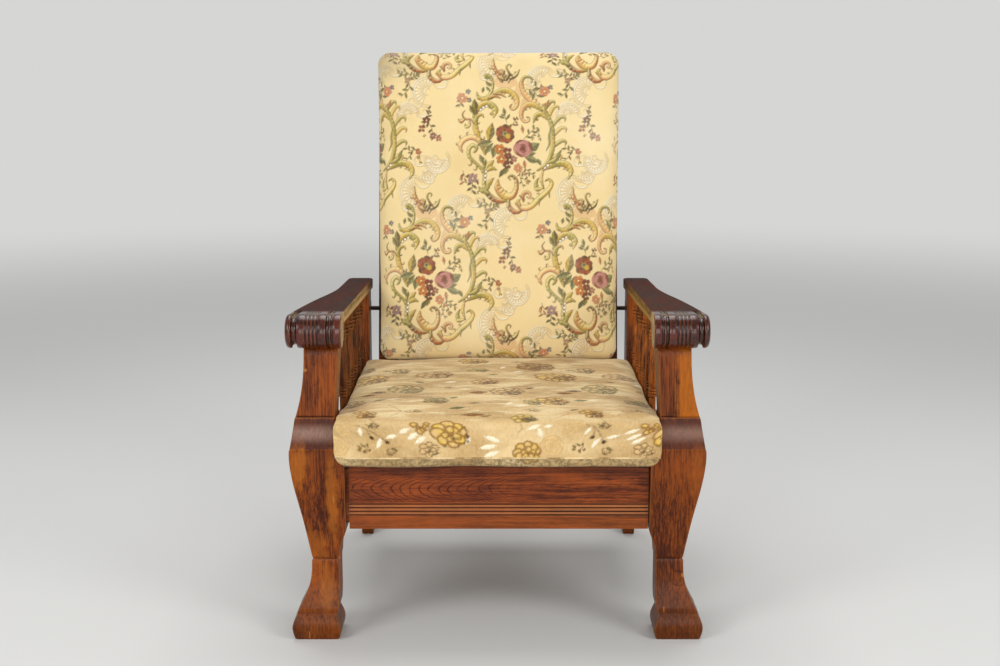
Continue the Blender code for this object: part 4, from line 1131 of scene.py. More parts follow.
def bead(crest, height, radius, root):
    """Heights and radii of one turned ring, from its upper root to its lower one."""
    angles = np.linspace(-90, 90, 9)
    return [
        (
            crest + height / 2 * math.sin(math.radians(-a)),
            root + (radius - root) * math.cos(math.radians(a)) ** 0.7,
        )
        for a in angles
    ]


def spindle_outline(length):
    """Heights above the rail and radii of a spindle, from its shoulder under the arm down to the rail."""
    outline = [
        (length + 0.004, SPINDLE_TENON), (length - 0.0004, SPINDLE_TENON), (length - 0.0004, SPINDLE_ROOT),
    ]
    outline += [(length - 0.0012, SPINDLE_FOOT), (length - 0.025, SPINDLE_FOOT)]
    for ring in range(3):
        outline += bead(length - 0.030 - ring * 0.0075, 0.0066, SPINDLE_RING, SPINDLE_FOOT - 0.0012)
    waist = [
        (length - 0.0485, 0.0060), (length - 0.062, SPINDLE_NECK), (min(0.118, length * 0.6 - 0.003), 0.0060),
        (0.085, 0.0080), (0.072, SPINDLE_SWELL), (0.060, 0.0076), (0.0555, 0.0068),
    ]
    heights, radii = zip(*reversed(waist))
    at = np.linspace(heights[-1], heights[0], 30)
    outline += list(zip(at, smooth_curve(heights, radii, at)))
    for ring in range(3):
        outline += bead(0.052 - ring * 0.0060, 0.0054, SPINDLE_RING, SPINDLE_ROOT)
    outline += [(0.034, SPINDLE_FOOT), (0.0012, SPINDLE_FOOT), (0.0004, SPINDLE_ROOT)]
    return outline + [(0.0004, SPINDLE_TENON), (-0.004, SPINDLE_TENON)]


def new_group(name, *inputs):
    """A Geometry Nodes tree with these named inputs and one output, and the wires of its inputs."""
    group = bpy.data.node_groups.new(name, "GeometryNodeTree")
    for socket, kind in inputs:
        group.interface.new_socket(socket, in_out="INPUT", socket_type="NodeSocket" + kind)
    group.interface.new_socket("Shape", in_out="OUTPUT", socket_type="NodeSocketGeometry")
    tree = Tree(group)
    given = group.nodes.new("NodeGroupInput")
    return tree, [Wire(tree, given.outputs[socket]) for socket, _ in inputs]


def closed_group(tree, shape, material):
    """Gives the shape its material and leads it out of the tree."""
    shape = tree.node("GeometryNodeSetMaterial", None, {"Geometry": shape, "Material": material})
    group = tree.nodes
    group.links.new(shape.socket, group.nodes.new("NodeGroupOutput").inputs["Shape"])
    return group


def swept_tree():
    """Geometry Nodes that turn a wire with a radius at each point into a closed round bar along it."""
    inputs = (("Wire", "Geometry"), ("Sides", "Int"), ("Girth", "Float"), ("Material", "Material"))
    tree, (wire, sides, girth, material) = new_group("turned_spindles", *inputs)
    radius = tree.node("GeometryNodeInputNamedAttribute", {"data_type": "FLOAT"}, {"Name": "radius"}) * girth
    curve = tree.node("GeometryNodeMeshToCurve", None, {"Mesh": wire})
    circle = tree.node("GeometryNodeCurvePrimitiveCircle", None, {"Resolution": sides, "Radius": 1.0})
    values = {"Curve": curve, "Profile Curve": circle, "Scale": radius, "Fill Caps": True}
    bars = tree.node("GeometryNodeCurveToMesh", None, values)
    bars = tree.node("GeometryNodeRealizeInstances", None, {"Geometry": bars})
    return closed_group(tree, bars, material)


def grown_from(name, points, edges, radii, group, settings, material, sharp=35):
    """Runs a Geometry Nodes group on a mesh of points and edges and gives the plain mesh that comes out."""
    mesh = new_mesh(name, points, [], edges)
    if radii:
        mesh.attributes.new("radius", "FLOAT", "POINT").data.foreach_set("value", np.array(radii, np.float32))
    guide = linked(name, mesh)
    grower = guide.modifiers.new("grow", "NODES")
    grower.node_group = group
    settings = {**settings, "Material": material}
    for item in group.interface.items_tree:
        if item.in_out == "INPUT" and item.name in settings:
            grower[item.identifier] = settings[item.name]
    made = applied(guide)
    mend(made)
    if radii and "radius" in made.attributes:
        made.attributes.remove(made.attributes["radius"])
    return finished_object(name, made, material, sharp)


class ARMCHAIR_OT_spindles(bpy.types.Operator):
    """Turn the six spindles under each arm"""

    bl_idname = "armchair.spindles"
    bl_label = "Spindles"

    sides: IntProperty(name="Sides", description="Faces round each spindle", default=20, min=8, max=48)
    girth: quantity("Girth", "Thickness compared with the plan", 1.0, 0.5, 1.5)

    def execute(self, context):
        w = wood()
        group = swept_tree()
        for side_name, side in SIDES:
            # The left spindles' stain is painted darker and the right ones' lighter: painted shade and
            # painted light.
            material = oak(
                f"oak_spindles_{side_name}", w.spindle_dark,
                dimmed(w.spindle_light, 0.62 if side < 0 else 1.35), "Z", (0.30, 0.25), tilt=(0.02, 0.04),
                ring=0.0030, figure=0.20, gloss=0.40, extra=old_grime(0.35), rub=0.10,
            )
            points, edges, radii = [], [], []
            nodes = [f"spindle_{side_name}_{n}" for n in range(1, 7)]
            for node in nodes:
                low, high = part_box(node)
                foot, top = low.z + 0.010, high.z - 0.010
                x, y = (low.x + high.x) / 2, (low.y + high.y) / 2
                outline = spindle_outline(top - foot)
                first = len(points)
                points += [(x, y, foot + height) for height, _ in outline]
                radii += [radius for _, radius in outline]
                edges += [(first + step, first + step + 1) for step in range(len(outline) - 1)]
            piece = grown_from(
                f"spindles_{side_name}_oak", points, edges, radii, group,
                {"Sides": self.sides, "Girth": self.girth}, material, 50,
            )
            stands_for(piece, "turned_oak_spindles", *nodes)
        return {"FINISHED"}


# Iron


def old_iron():
    finish = Finish("black_iron_worn", Metallic=0.85, Specular_IOR_Level=0.5)
    place = finish.place()
    cloud = finish.noise(place, 70.0, 5.0, 0.65)
    rust = finish.step(cloud, 0.56, 0.70)
    grain = finish.noise(place, 900.0, 2.0)
    edge = finish.attribute("edge")
    bright = finish.step(edge + (cloud - 0.5) * 0.4, 0.25, 0.6)
    shade = finish.mix(grain, paint("#15130F"), paint("#2E2A26"))
    shade = finish.mix(rust * 0.7, shade, paint("#4A2A18"))
    shade = finish.mix(bright * 0.5, shade, paint("#77716A"))
    rough = 0.42 + rust * 0.35 + (grain - 0.5) * 0.15
    return finish.wear(Base_Color=shade, Roughness=rough, Normal=finish.bump(grain + cloud, 0.00025))


def softened(node, width, material):
    """A copy of a CAD node with its flat faces joined and its edges rounded."""
    name = f"{node}_iron"
    shape = bmesh.new()
    shape.from_mesh(NODES[node].data)
    bmesh.ops.remove_doubles(shape, verts=shape.verts, dist=0.00001)
    bmesh.ops.dissolve_limit(shape, angle_limit=math.radians(1.0), verts=shape.verts, edges=shape.edges)
    mesh = bpy.data.meshes.new(name)
    shape.to_mesh(mesh)
    shape.free()
    rough = linked(name, mesh)
    rounding = rough.modifiers.new("rounding", "BEVEL")
    rounding.width, rounding.segments = width, 2
    rounding.limit_method, rounding.angle_limit = "ANGLE", math.radians(40)
    return finished_object(name, applied(rough), material, 50)


class ARMCHAIR_OT_ironwork(bpy.types.Operator):
    """Finish the support rod, the notched racks with their slotted screws, and the pivot pins"""

    bl_idname = "armchair.ironwork"
    bl_label = "Ironwork"

    edge: length("Edge", "How far the edges of the iron are rounded", 0.0004, 0.0001, 0.001)

    def execute(self, context):
        iron = old_iron()
        for node in [name for name in NODES if name.startswith(("rack", "pivot", "support_rod"))]:
            stands_for(softened(node, self.edge, iron), "black_iron", node)
        return {"FINISHED"}


# Cushions


class ArmchairCushions(bpy.types.PropertyGroup):
    """Stuffing and threads of the two loose cushions"""

    pressure: quantity("Pressure", "How hard the stuffing pushes", 4.0, 0, 20)
    swell: length("Swell", "The most that any point of a cushion may move outwards", 0.016, 0, 0.03)
    crown: length("Crown", "How far the middle of a cushion stands above its edges", 0.007, 0, 0.02)
    seam: length("Seam height", "Height of the seat cushion's piping above its base", 0.0185, 0.005, 0.04)
    piping: length("Piping", "Radius of the piping", 0.0017, 0.0005, 0.004)
    lap: length("Lap", "How far the back cushion reaches down onto the seat", 0.007, 0, 0.01)
    rise: length("Rise", "How far the back cushion stands above its planned top", 0.013, 0, 0.02)
    widening: quantity("Widening", "How much wider the back cushion is at its top", 0.030, 0, 0.1)
    boldness: quantity("Boldness", "Width of the woven scrolls", 1.15, 0.5, 2)
    ground: colour("Tapestry ground", "Warp of the tapestry", "#F4DA9E")
    ground_shadow: colour("Tapestry shadow", "Hollows of the ground", "#C6A056")
    relief: colour("Tapestry relief", "Raised cream figure", "#FFF8DE")
    gold: colour("Gold thread", "Scrolls", "#CFA63A")
    gold_light: colour("Pale gold thread", "Lit side of scrolls and petals", "#F8E39A")
    olive: colour("Olive thread", "Scrolls and leaves", "#948C30")
    salmon: colour("Salmon thread", "Scrolls and trellis", "#DA9A66")
    rust: colour("Rust thread", "Flowers and scroll ends", "#B05A24")
    orange: colour("Orange thread", "Small flowers", "#DE8A30")
    brown: colour("Brown thread", "Outlines and stems", "#4E2C10")
    sage: colour("Sage thread", "Dark side of the leaves", "#5C5C34")
    moss: colour("Moss thread", "Pale side of the leaves", "#98965E")
    rose: colour("Rose thread", "Pink flowers", "#C8887A")
    wine: colour("Wine thread", "Dark red flowers", "#7A3226")
    slate: colour("Slate thread", "Blue-grey florets", "#6E767E")
    velour_ground: colour("Velour ground", "Pile of the seat cushion", "#D4B27A")
    velour_light: colour("Velour, lit", "Brushed pile on the front", "#F0D6A4")
    velour_shadow: colour("Velour, shaded", "Pile that leans away", "#9A7440")
    # Also the pale end of the painted sheen on the seat cushion's top.
    velour_crushed_sheen: colour("Velour, crushed", "Flattened pile on top", "#E4D0A0")
    velour_pale: colour("Velour, cream", "Long leaves", "#FBEFD0")
    velour_yellow: colour("Velour, yellow", "Petals", "#E2BE54")
    velour_gold: colour("Velour, gold", "Outlines of the blooms", "#7C4A06")
    velour_olive: colour("Velour, olive", "Outlines and twigs", "#565410")
    velour_brown: colour("Velour, brown", "Grey-brown petals", "#664A2C")
    velour_grey: colour("Velour, grey", "Grey-olive marks", "#66603C")
    velour_dark: colour("Velour, dark", "Berries and stems", "#402C14")
    # The same colour is the painted shade on the seat cushion's band under the seam.
    dirt: colour("Dirt", "Grime rubbed into both cushions", "#786646")


def threads():
    return bpy.context.scene.armchair_cushions


class Print:
    """One repeat of a fabric's figure, painted shape by shape on a fine grid that wraps round."""

    STEP = 0.8  # millimetres between grid points
    LIGHT = np.array([-0.55, 0.83])  # the upper left, where every shape is paler
    # An acanthus finger, ahead and out
    FINGER = ((0, 0), (0.5, 0.35), (0.85, 0.8), (0.75, 1.15), (0.45, 1.1))

    def __init__(self, width, height, ground, drops=((0.0, 0.0),), soft=0.9):
        self.size = np.array([width, height], float)
        self.count = np.round(self.size / self.STEP).astype(int)
        self.pitch = self.size / self.count
        self.shifts = [np.round(np.array(drop) / self.pitch).astype(int) for drop in drops]
        self.soft = soft
        self.chance = np.random.default_rng(4)
        self.shades = np.zeros((*self.count, 3)) + ground
        self.raised = np.zeros((*self.count, 1))

    def around(self, low, high):
        """The grid's indices and places in a rectangle that may reach over the edges of the repeat."""
        first = np.floor(np.array(low) / self.pitch).astype(int)
        last = np.ceil(np.array(high) / self.pitch).astype(int)
        across, up = np.arange(first[0], last[0] + 1), np.arange(first[1], last[1] + 1)
        return (across, up), (across * self.pitch[0])[:, None], (up * self.pitch[1])[None, :]

    def lay(self, place, inside, shade, lift=0.3, amount=1.0):
        """Paints where inside is positive; it is in millimetres from the shape's edge."""
        cover = (np.clip(inside / self.soft + 0.5, 0, 1) * amount)[..., None]
        for shift in self.shifts:
            index = np.ix_((place[0] + shift[0]) % self.count[0], (place[1] + shift[1]) % self.count[1])
            self.shades[index] += (shade - self.shades[index]) * cover
            self.raised[index] += (lift - self.raised[index]) * cover

    def stroke(self, points, widths, shades, edge=None, pale=None, lift=0.4, amount=1.0, lobes=0.0):
        """A line through the points that swells and thins, with a darker far edge and a paler near one.

        Lobes are the length in millimetres of the leaf lobes on its left, or on its right where negative."""
        path = smooth_path(points)
        along = np.linspace(0, 1, len(path))
        half = np.interp(along, np.linspace(0, 1, len(widths)), widths) / 2
        shades = np.array(shades, float).reshape(-1, 3)
        tint = np.column_stack(
            [np.interp(along, np.linspace(0, 1, len(shades)), shades[:, c]) for c in range(3)]
        )
        reach = half.max() * (1.8 if lobes else 1.0) + 2.0
        place, x, y = self.around(path.min(0) - reach, path.max(0) + reach)
        inside = np.full((len(place[0]), len(place[1])), -9.0)
        lit, vein, shade = np.zeros(inside.shape), np.zeros(inside.shape), np.zeros((*inside.shape, 3))
        for number, (start, stop, wide, next_wide, colour) in enumerate(
            zip(path, path[1:], half, half[1:], tint)
        ):
            rows = slice(
                *np.searchsorted(x[:, 0], (min(start[0], stop[0]) - reach, max(start[0], stop[0]) + reach))
            )
            columns = slice(
                *np.searchsorted(y[0], (min(start[1], stop[1]) - reach, max(start[1], stop[1]) + reach))
            )
            run = stop - start
            across, up = x[rows] - start[0], y[:, columns] - start[1]
            part = np.clip((across * run[0] + up * run[1]) / max(run @ run, 1e-9), 0, 1)
            across, up = across - part * run[0], up - part * run[1]
            here = wide + part * (next_wide - wide)
            notch = np.zeros(part.shape)
            if lobes:
                wave = np.abs(np.sin((number + part) * (2.0 * math.pi / lobes)))
                leafy = np.clip((run[0] * up - run[1] * across) * math.copysign(1, lobes) * 3, 0, 1)
                here = here * (1 + 0.75 * leafy * wave**0.7)
                notch = np.clip(1 - wave * abs(lobes) / 2.8, 0, 1) * leafy
            here = here - np.hypot(across, up)
            nearer = here > inside[rows, columns]
            inside[rows, columns] = np.where(nearer, here, inside[rows, columns])
            facing = (across * self.LIGHT[0] + up * self.LIGHT[1]) / max(wide, 0.4)
            lit[rows, columns] = np.where(nearer, facing, lit[rows, columns])
            vein[rows, columns] = np.where(nearer, notch, vein[rows, columns])
            shade[rows, columns] = np.where(nearer[..., None], colour, shade[rows, columns])
        if pale is not None:
            shade = (
                shade
                + (pale - shade) * (np.clip(lit * 1.6 + 0.25, 0, 1) * np.clip(inside, 0, 1))[..., None] * 0.85
            )
        if edge is not None:
            rim = (
                np.clip(1.9 - inside, 0, 1) * (0.40 + np.clip(0.6 - lit, 0, 1) * 0.6)
                + np.clip(-lit * 1.8 - 0.8, 0, 1) * 0.35
            )
            shade = shade + (edge - shade) * np.clip(rim + vein * 0.8, 0, 0.95)[..., None]
        self.lay(place, inside, shade, lift, amount)

    def oval(self, middle, radii, turn, paintwork, pointed=0.0, lift=0.4, amount=1.0):
        """An oval, or one with pointed ends. Paintwork gives its colour from the places along and across it
        and from the distance inside its edge."""
        reach = max(radii) * 1.25 + 2
        place, x, y = self.around(np.array(middle) - reach, np.array(middle) + reach)
        angle = math.radians(turn)
        u = ((x - middle[0]) * math.cos(angle) + (y - middle[1]) * math.sin(angle)) / radii[0]
        v = ((y - middle[1]) * math.cos(angle) - (x - middle[0]) * math.sin(angle)) / radii[1]
        narrow = v / np.maximum(1 - pointed * np.abs(u) ** 1.6, 0.12)
        inside = (1 - np.hypot(u, narrow)) * min(radii)
        self.lay(place, inside, paintwork(u, v, inside), lift, amount)

    def leaf(self, middle, length, width, turn, dark, pale, edge):
        """A leaf in two tones either side of its rib, with short veins."""

        def paintwork(u, v, inside):
            veins = 0.5 + 0.5 * np.sin((np.abs(v) * 1.3 - u * 2.6) * 4.5)
            light = np.clip(v * 3 + 0.5, 0, 1) * 0.65 + veins * 0.35
            shade = dark + (pale - dark) * light[..., None]
            line = np.clip(1.1 - np.abs(v) * width * 1.4, 0, 1) + np.clip(0.9 - inside, 0, 1) * 0.8
            return shade + (edge - shade) * np.clip(line, 0, 0.85)[..., None]

        self.oval(middle, (length, width), turn, paintwork, pointed=0.75)

    def petals(self, middle, radius, count, shades, edge, wide=0.36, turn=0.0, reach=0.58, line=1.0):
        """A ring of petals, each darker towards the middle."""
        for number in range(count):
            angle = turn + (360.0 * number + 90 * self.chance.uniform(-1, 1)) / count
            grown = self.chance.uniform(0.85, 1.12)
            base, tip = shades[number % len(shades)], shades[(number + 1) % len(shades)]

            def paintwork(u, v, inside, base=base, tip=tip):
                shade = base + (tip - base) * np.clip(u * 0.7 + 0.5, 0, 1)[..., None]
                ray = np.clip(0.8 - np.abs(v) * radius * wide * 1.2, 0, 1) * np.clip(0.3 - u, 0, 1) * 0.7
                rim = np.clip(line - inside, 0, 1) * 0.8 + ray
                return shade + (edge - shade) * np.clip(rim, 0, 1)[..., None]

            size = (radius * (1 - reach) * grown, radius * wide * grown)
            self.oval(np.array(middle) + toward(angle) * radius * reach, size, angle, paintwork)

    @staticmethod
    def flat(shade, edge=None):
        """Paintwork in one shade, with a line round it if there is an edge."""

        def paintwork(u, v, inside):
            plain = np.zeros((*inside.shape, 3)) + shade
            return plain if edge is None else plain + (edge - plain) * np.clip(0.9 - inside, 0, 1)[..., None]

        return paintwork

    def specks(self, middle, radii, count, shades, sizes):
        """Scattered dots inside an oval."""
        for _ in range(count):
            far, angle = math.sqrt(self.chance.uniform()), self.chance.uniform(0, 6.3)
            spot = (
                middle[0] + radii[0] * far * math.cos(angle), middle[1] + radii[1] * far * math.sin(angle),
            )
            size, turn = self.chance.uniform(*sizes), self.chance.uniform(0, 180)
            shade = shades[self.chance.integers(len(shades))]
            self.oval(spot, (size, size * 1.6), turn, self.flat(shade))

    def disc(self, middle, radius, shade, edge=None):
        self.oval(middle, (radius, radius), 0, self.flat(shade, edge), lift=0.6)

    def plume(self, points, places, size, lean, shades, edge, pale):
        """Acanthus fingers that leave a scroll to one side at the given parts of its length and curl over."""
        path = smooth_path(points)
        for number, part in enumerate(places):
            spot = min(int(part * (len(path) - 1)), len(path) - 2)
            ahead = path[spot + 1] - path[spot]
            ahead = ahead / max(np.linalg.norm(ahead), 1e-9)
            out = np.array([-ahead[1], ahead[0]]) * lean
            grown = size * (0.75 + 0.5 * math.sin(math.pi * (number + 0.7) / (len(places) + 0.4)))
            finger = [path[spot] + ahead * a * grown + out * b * grown for a, b in self.FINGER]
            shade = shades[number % len(shades)]
            self.stroke(finger, (2.0, 0.34 * size, 0.42 * size, 0.30 * size, 1.2), (shade, shade), edge, pale)

    def spray(self, points, size, dark, pale, edge, count=4, tip=None):
        """A thin stem with leaves on both sides."""
        path = smooth_path(points)
        self.stroke(points, (1.1, 1.4, 1.0), (edge,), lift=0.3)
        for number in range(count):
            spot = int((number + 1.0) / (count + 0.4) * (len(path) - 2))
            ahead = path[spot + 1] - path[spot]
            turn = math.degrees(math.atan2(ahead[1], ahead[0])) + (52 if number % 2 else -52)
            self.leaf(path[spot] + toward(turn) * size, size, size * 0.42, turn, dark, pale, edge)
        if tip is not None:
            self.petals(path[-1], size * 0.95, 5, (tip, pale), edge)

    def read(self, grid, places):
        """The grid's values at places in millimetres."""
        at = np.asarray(places) / self.pitch
        whole = np.floor(at).astype(int)
        part = (at - whole)[:, :, None]
        x0, y0 = whole[:, 0] % self.count[0], whole[:, 1] % self.count[1]
        x1, y1 = (x0 + 1) % self.count[0], (y0 + 1) % self.count[1]
        low = grid[x0, y0] * (1 - part[:, 0]) + grid[x1, y0] * part[:, 0]
        high = grid[x0, y1] * (1 - part[:, 0]) + grid[x1, y1] * part[:, 0]
        return low * (1 - part[:, 1]) + high * part[:, 1]


PATH_STEP = 2.0  # millimetres between the points of a stroke


def smooth_path(points):
    """Evenly spaced points on a smooth curve through the given ones."""
    points = np.array(points, float)
    if len(points) < 3:
        count = max(2, int(np.linalg.norm(points[-1] - points[0]) / PATH_STEP) + 1)
        return np.linspace(points[0], points[-1], count)
    padded = np.concatenate([[2 * points[0] - points[1]], points, [2 * points[-1] - points[-2]]])
    dense = []
    for a, b, c, d in zip(padded, padded[1:], padded[2:], padded[3:]):
        for part in np.linspace(0, 1, 12, endpoint=False):
            dense.append(
                0.5
                * (
                    2 * b + (c - a) * part + (2 * a - 5 * b + 4 * c - d) * part**2
                    + (3 * b - a - 3 * c + d) * part**3
                )
            )
    dense = np.array(dense + [points[-1]])
    run = np.concatenate([[0], np.cumsum(np.linalg.norm(np.diff(dense, axis=0), axis=1))])
    at = np.linspace(0, run[-1], max(2, int(run[-1] / PATH_STEP) + 1))
    return np.column_stack([np.interp(at, run, dense[:, axis]) for axis in range(2)])


# Stuffing


def piping_tree():
    """Geometry Nodes that turn a closed wire into a rolled seam with a row of stitches just under it."""
    inputs = (
        ("Wire", "Geometry"), ("Radius", "Float"), ("Stitch spacing", "Float"), ("Stitch radius", "Float"),
        ("Material", "Material"),
    )
    tree, (wire, radius, spacing, stitch, material) = new_group("piping", *inputs)
    curve = tree.node("GeometryNodeMeshToCurve", None, {"Mesh": wire})
    circle = tree.node("GeometryNodeCurvePrimitiveCircle", None, {"Resolution": 8, "Radius": radius})
    cord = tree.node("GeometryNodeCurveToMesh", None, {"Curve": curve, "Profile Curve": circle})
    spots = tree.node("GeometryNodeResampleCurve", {"mode": "LENGTH"}, {"Curve": curve, "Length": spacing})
    tangent = tree.node("GeometryNodeInputTangent")
    outwards = tree.node("ShaderNodeVectorMath", {"operation": "CROSS_PRODUCT"}, {0: tangent, 1: (0, 0, 1)})
    shift = tree.node("ShaderNodeVectorMath", {"operation": "SCALE"}, {0: outwards, "Scale": radius * 0.35})
    shift = shift + tree.node("ShaderNodeCombineXYZ", None, {"Z": radius * -1.35})
    turn = tree.node("FunctionNodeAlignRotationToVector", {"axis": "Z"}, {"Vector": tangent})
    thread = tree.node(
        "GeometryNodeMeshCylinder", None, {"Vertices": 5, "Radius": stitch, "Depth": spacing * 0.6},
    )
    values = {"Points": spots, "Instance": thread, "Rotation": turn}
    stitches = tree.node("GeometryNodeInstanceOnPoints", None, values)
    values = {"Instances": stitches, "Translation": shift, "Local Space": False}
    stitches = tree.node("GeometryNodeTranslateInstances", None, values)
    stitches = tree.node("GeometryNodeRealizeInstances", None, {"Geometry": stitches})
    both = tree.nodes.nodes.new("GeometryNodeJoinGeometry")
    for part in (stitches, cord):
        tree.nodes.links.new(part.socket, both.inputs[0])
    return closed_group(tree, Wire(tree, both.outputs[0]), material)


def piping_cloth():
    t = threads()
    finish = Finish("velour_piping", Sheen_Weight=0.3, Sheen_Roughness=0.4, Specular_IOR_Level=0.2)
    place = finish.place()
    pile = finish.noise(place, 420.0, 3.0, 0.7)
    worn = finish.noise(place, 24.0, 3.0)
    shade = finish.mix(finish.step(worn, 0.35, 0.65), t.velour_shadow, t.velour_light)
    shade = finish.mix(finish.step(pile, 0.40, 0.75) * 0.4, shade, t.velour_crushed_sheen)
    shade = finish.mix((1 - finish.step(pile, 0.25, 0.5)) * 0.35, shade, t.velour_grey)
    return finish.wear(Base_Color=shade, Roughness=0.85 + pile * 0.1, Normal=finish.bump(pile, 0.0005))


def cushion_lattice(size, radii, cell):
    """A closed skin of a rounded box about the origin: its points, faces and each point's unrounded place."""
    axes = []
    for side, radius in zip(size, radii):
        arc = max(2, round(radius * math.pi / 4 / cell))
        margin = [radius * math.tan(math.pi / 4 * (1 - step / arc)) for step in range(arc)]
        inner = side / 2 - radius
        flat = np.linspace(-inner, inner, max(2, round(2 * inner / cell)) + 1)
        axes.append(
            np.concatenate([[-inner - m for m in margin], flat, [inner + m for m in reversed(margin)]])
        )
    index, raw = {}, []

    def corner(key):
        if key not in index:
            index[key] = len(raw)
            raw.append([axes[axis][key[axis]] for axis in range(3)])
        return index[key]

    faces = []
    for axis in range(3):
        first, second = [other for other in range(3) if other != axis]
        for end in (0, len(axes[axis]) - 1):
            for a in range(len(axes[first]) - 1):
                for b in range(len(axes[second]) - 1):
                    keys = []
                    for step_a, step_b in ((0, 0), (1, 0), (1, 1), (0, 1)):
                        key = [0, 0, 0]
                        key[axis], key[first], key[second] = end, a + step_a, b + step_b
                        keys.append(tuple(key))
                    face = [corner(key) for key in keys]
                    faces.append(face if (end > 0) == (axis != 1) else face[::-1])
    raw, radii = np.array(raw), np.array(radii)
    straight = np.array(size) / 2 - radii
    inner = np.clip(raw, -straight, straight)
    away = (raw - inner) / radii
    away /= np.linalg.norm(away, axis=1, keepdims=True)
    return inner + away * radii, faces, raw


STUFFING_FRAMES = 20


def stuffed(name, points, faces, held, pressure, most):
    """A cover's points, blown up by cloth simulation. Held points stay, others move no further than most."""
    cover = linked(name, new_mesh(name, points, faces))
    cover.vertex_groups.new(name="held").add([int(n) for n in np.flatnonzero(held)], 1.0, "REPLACE")
    cloth = cover.modifiers.new("stuffing", "CLOTH")
    settings = cloth.settings
    settings.quality = 4
    settings.mass = 0.25
    settings.tension_stiffness = settings.compression_stiffness = 12
    settings.shear_stiffness = 6
    settings.bending_stiffness = 1.5
    settings.use_pressure = True
    settings.uniform_pressure_force = pressure
    settings.vertex_group_mass = "held"
    settings.effector_weights.gravity = 0
    cloth.point_cache.frame_start, cloth.point_cache.frame_end = 1, STUFFING_FRAMES
    scene = bpy.context.scene
    for moment in range(1, STUFFING_FRAMES + 1):
        scene.frame_set(moment)
    graph = bpy.context.evaluated_depsgraph_get()
    found = rows_of(cover.evaluated_get(graph).to_mesh().vertices, "co", 3)
    cover.evaluated_get(graph).to_mesh_clear()
    bpy.data.objects.remove(cover)
    scene.frame_set(1)
    move = found - points
    far = np.linalg.norm(move, axis=1, keepdims=True)
    return points + move * np.minimum(1, most / np.maximum(far, 1e-9))


def relaxed(points, faces, amount):
    """The points of a skin of quads, moved towards the mean of their neighbours."""
    faces, count = np.array(faces), len(points)
    ends = np.concatenate([faces[:, [corner, (corner + 1) % 4]] for corner in range(4)])
    ends = np.unique(np.sort(ends, axis=1), axis=0)
    ends = np.concatenate([ends, ends[:, ::-1]])
    links = np.bincount(ends[:, 0], minlength=count)
    mean = [np.bincount(ends[:, 0], points[ends[:, 1], axis], count) / links for axis in range(3)]
    return points + (np.column_stack(mean) - points) * amount


def waves(places, seed, size, count=7):
    """A smooth random value about 0 at each place, made of a few sine waves in fixed random directions."""
    chosen = np.random.default_rng(seed)
    total = np.zeros(len(places))
    for _ in range(count):
        direction = chosen.normal(size=3)
        direction *= 2 * math.pi / size * chosen.uniform(0.6, 1.5) / np.linalg.norm(direction)
        total += np.sin(places @ direction + chosen.uniform(0, 6.3))
    return total / math.sqrt(count) / 1.4


def fine_cover(name, points, faces, cloth, dense, material):
    """The cover subdivided once, and once more where dense says so of a face's normal."""
    mesh = new_mesh(name, points, faces)
    # Cloth coordinates may jump from face to face, so they sit on the faces' corners as a UV map in metres
    mesh.uv_layers.new(name="cloth").data.foreach_set("uv", cloth.astype(np.float32).ravel())
    coarse = linked(name, mesh)
    finer = coarse.modifiers.new("finer", "SUBSURF")
    finer.levels = finer.render_levels = 1
    finer.uv_smooth = "NONE"
    fine = applied(coarse)
    shape = bmesh.new()
    shape.from_mesh(fine)
    chosen = {edge for face in shape.faces if dense(face.normal) for edge in face.edges}
    bmesh.ops.subdivide_edges(
        shape, edges=sorted(chosen, key=lambda edge: edge.index), cuts=1, use_grid_fill=True,
    )
    shape.to_mesh(fine)
    shape.free()
    fine.shade_smooth()
    fine.materials.append(material)
    return linked(name, fine)


def print_on(obj, cloth, blur=0.0):
    """Reads the figure at every face corner into attributes of the mesh, blurred a little by pile."""
    mesh = obj.data
    places = rows_of(mesh.uv_layers["cloth"].data, "uv", 2) * 1000.0
    places = places + np.random.default_rng(2).normal(0, 1, places.shape) * blur
    shades = cloth.read(cloth.shades, places).astype(np.float32)
    mesh.attributes.new("print", "FLOAT_VECTOR", "CORNER").data.foreach_set("vector", shades.ravel())
    raised = cloth.read(cloth.raised, places).astype(np.float32)
    mesh.attributes.new("raised", "FLOAT", "CORNER").data.foreach_set("value", raised.ravel())


def unrolled(raw, faces, size, main, sign):
    """Cloth coordinates of every face corner. The cover is one sheet, from the main face over its edges."""
    raw, half = np.asarray(raw), np.array(size) / 2
    corners = raw[np.array(faces)]
    first, second = [axis for axis in range(3) if axis != main]
    depth = half[main] - sign * corners[:, :, main]
    cloth = corners[:, :, [first, second]].copy()
    for slot, axis in enumerate((first, second)):
        for end in (-1, 1):
            there = np.all(np.abs(corners[:, :, axis] - end * half[axis]) < 1e-9, axis=1)
            cloth[there, :, slot] = end * (half[axis] + depth[there])
    return cloth.reshape(-1, 2)


# The tapestry's figure, on a sheet of 0.218 mm steps that are counted right and down from the sheet's corner

TAPESTRY_REPEAT = (345.0, 568.0)
TAPESTRY_DROPS = ((0.0, 0.0), (172.5, 284.0))
SHEET_STEP = 0.218
SHEET_MIDDLE = (600, 850)
TAPESTRY_MIDDLE = (0.0335, 0.129)  # the upper medallion on the back cushion, in metres from its middle
# Trellised grounds: place and radii on the sheet, and turn
TRELLIS = (
    ((515, 235), (120, 62), 0), ((640, 330), (40, 120), -18), ((690, 470), (26, 80), -8),
    ((520, 190), (90, 50), 0),
)
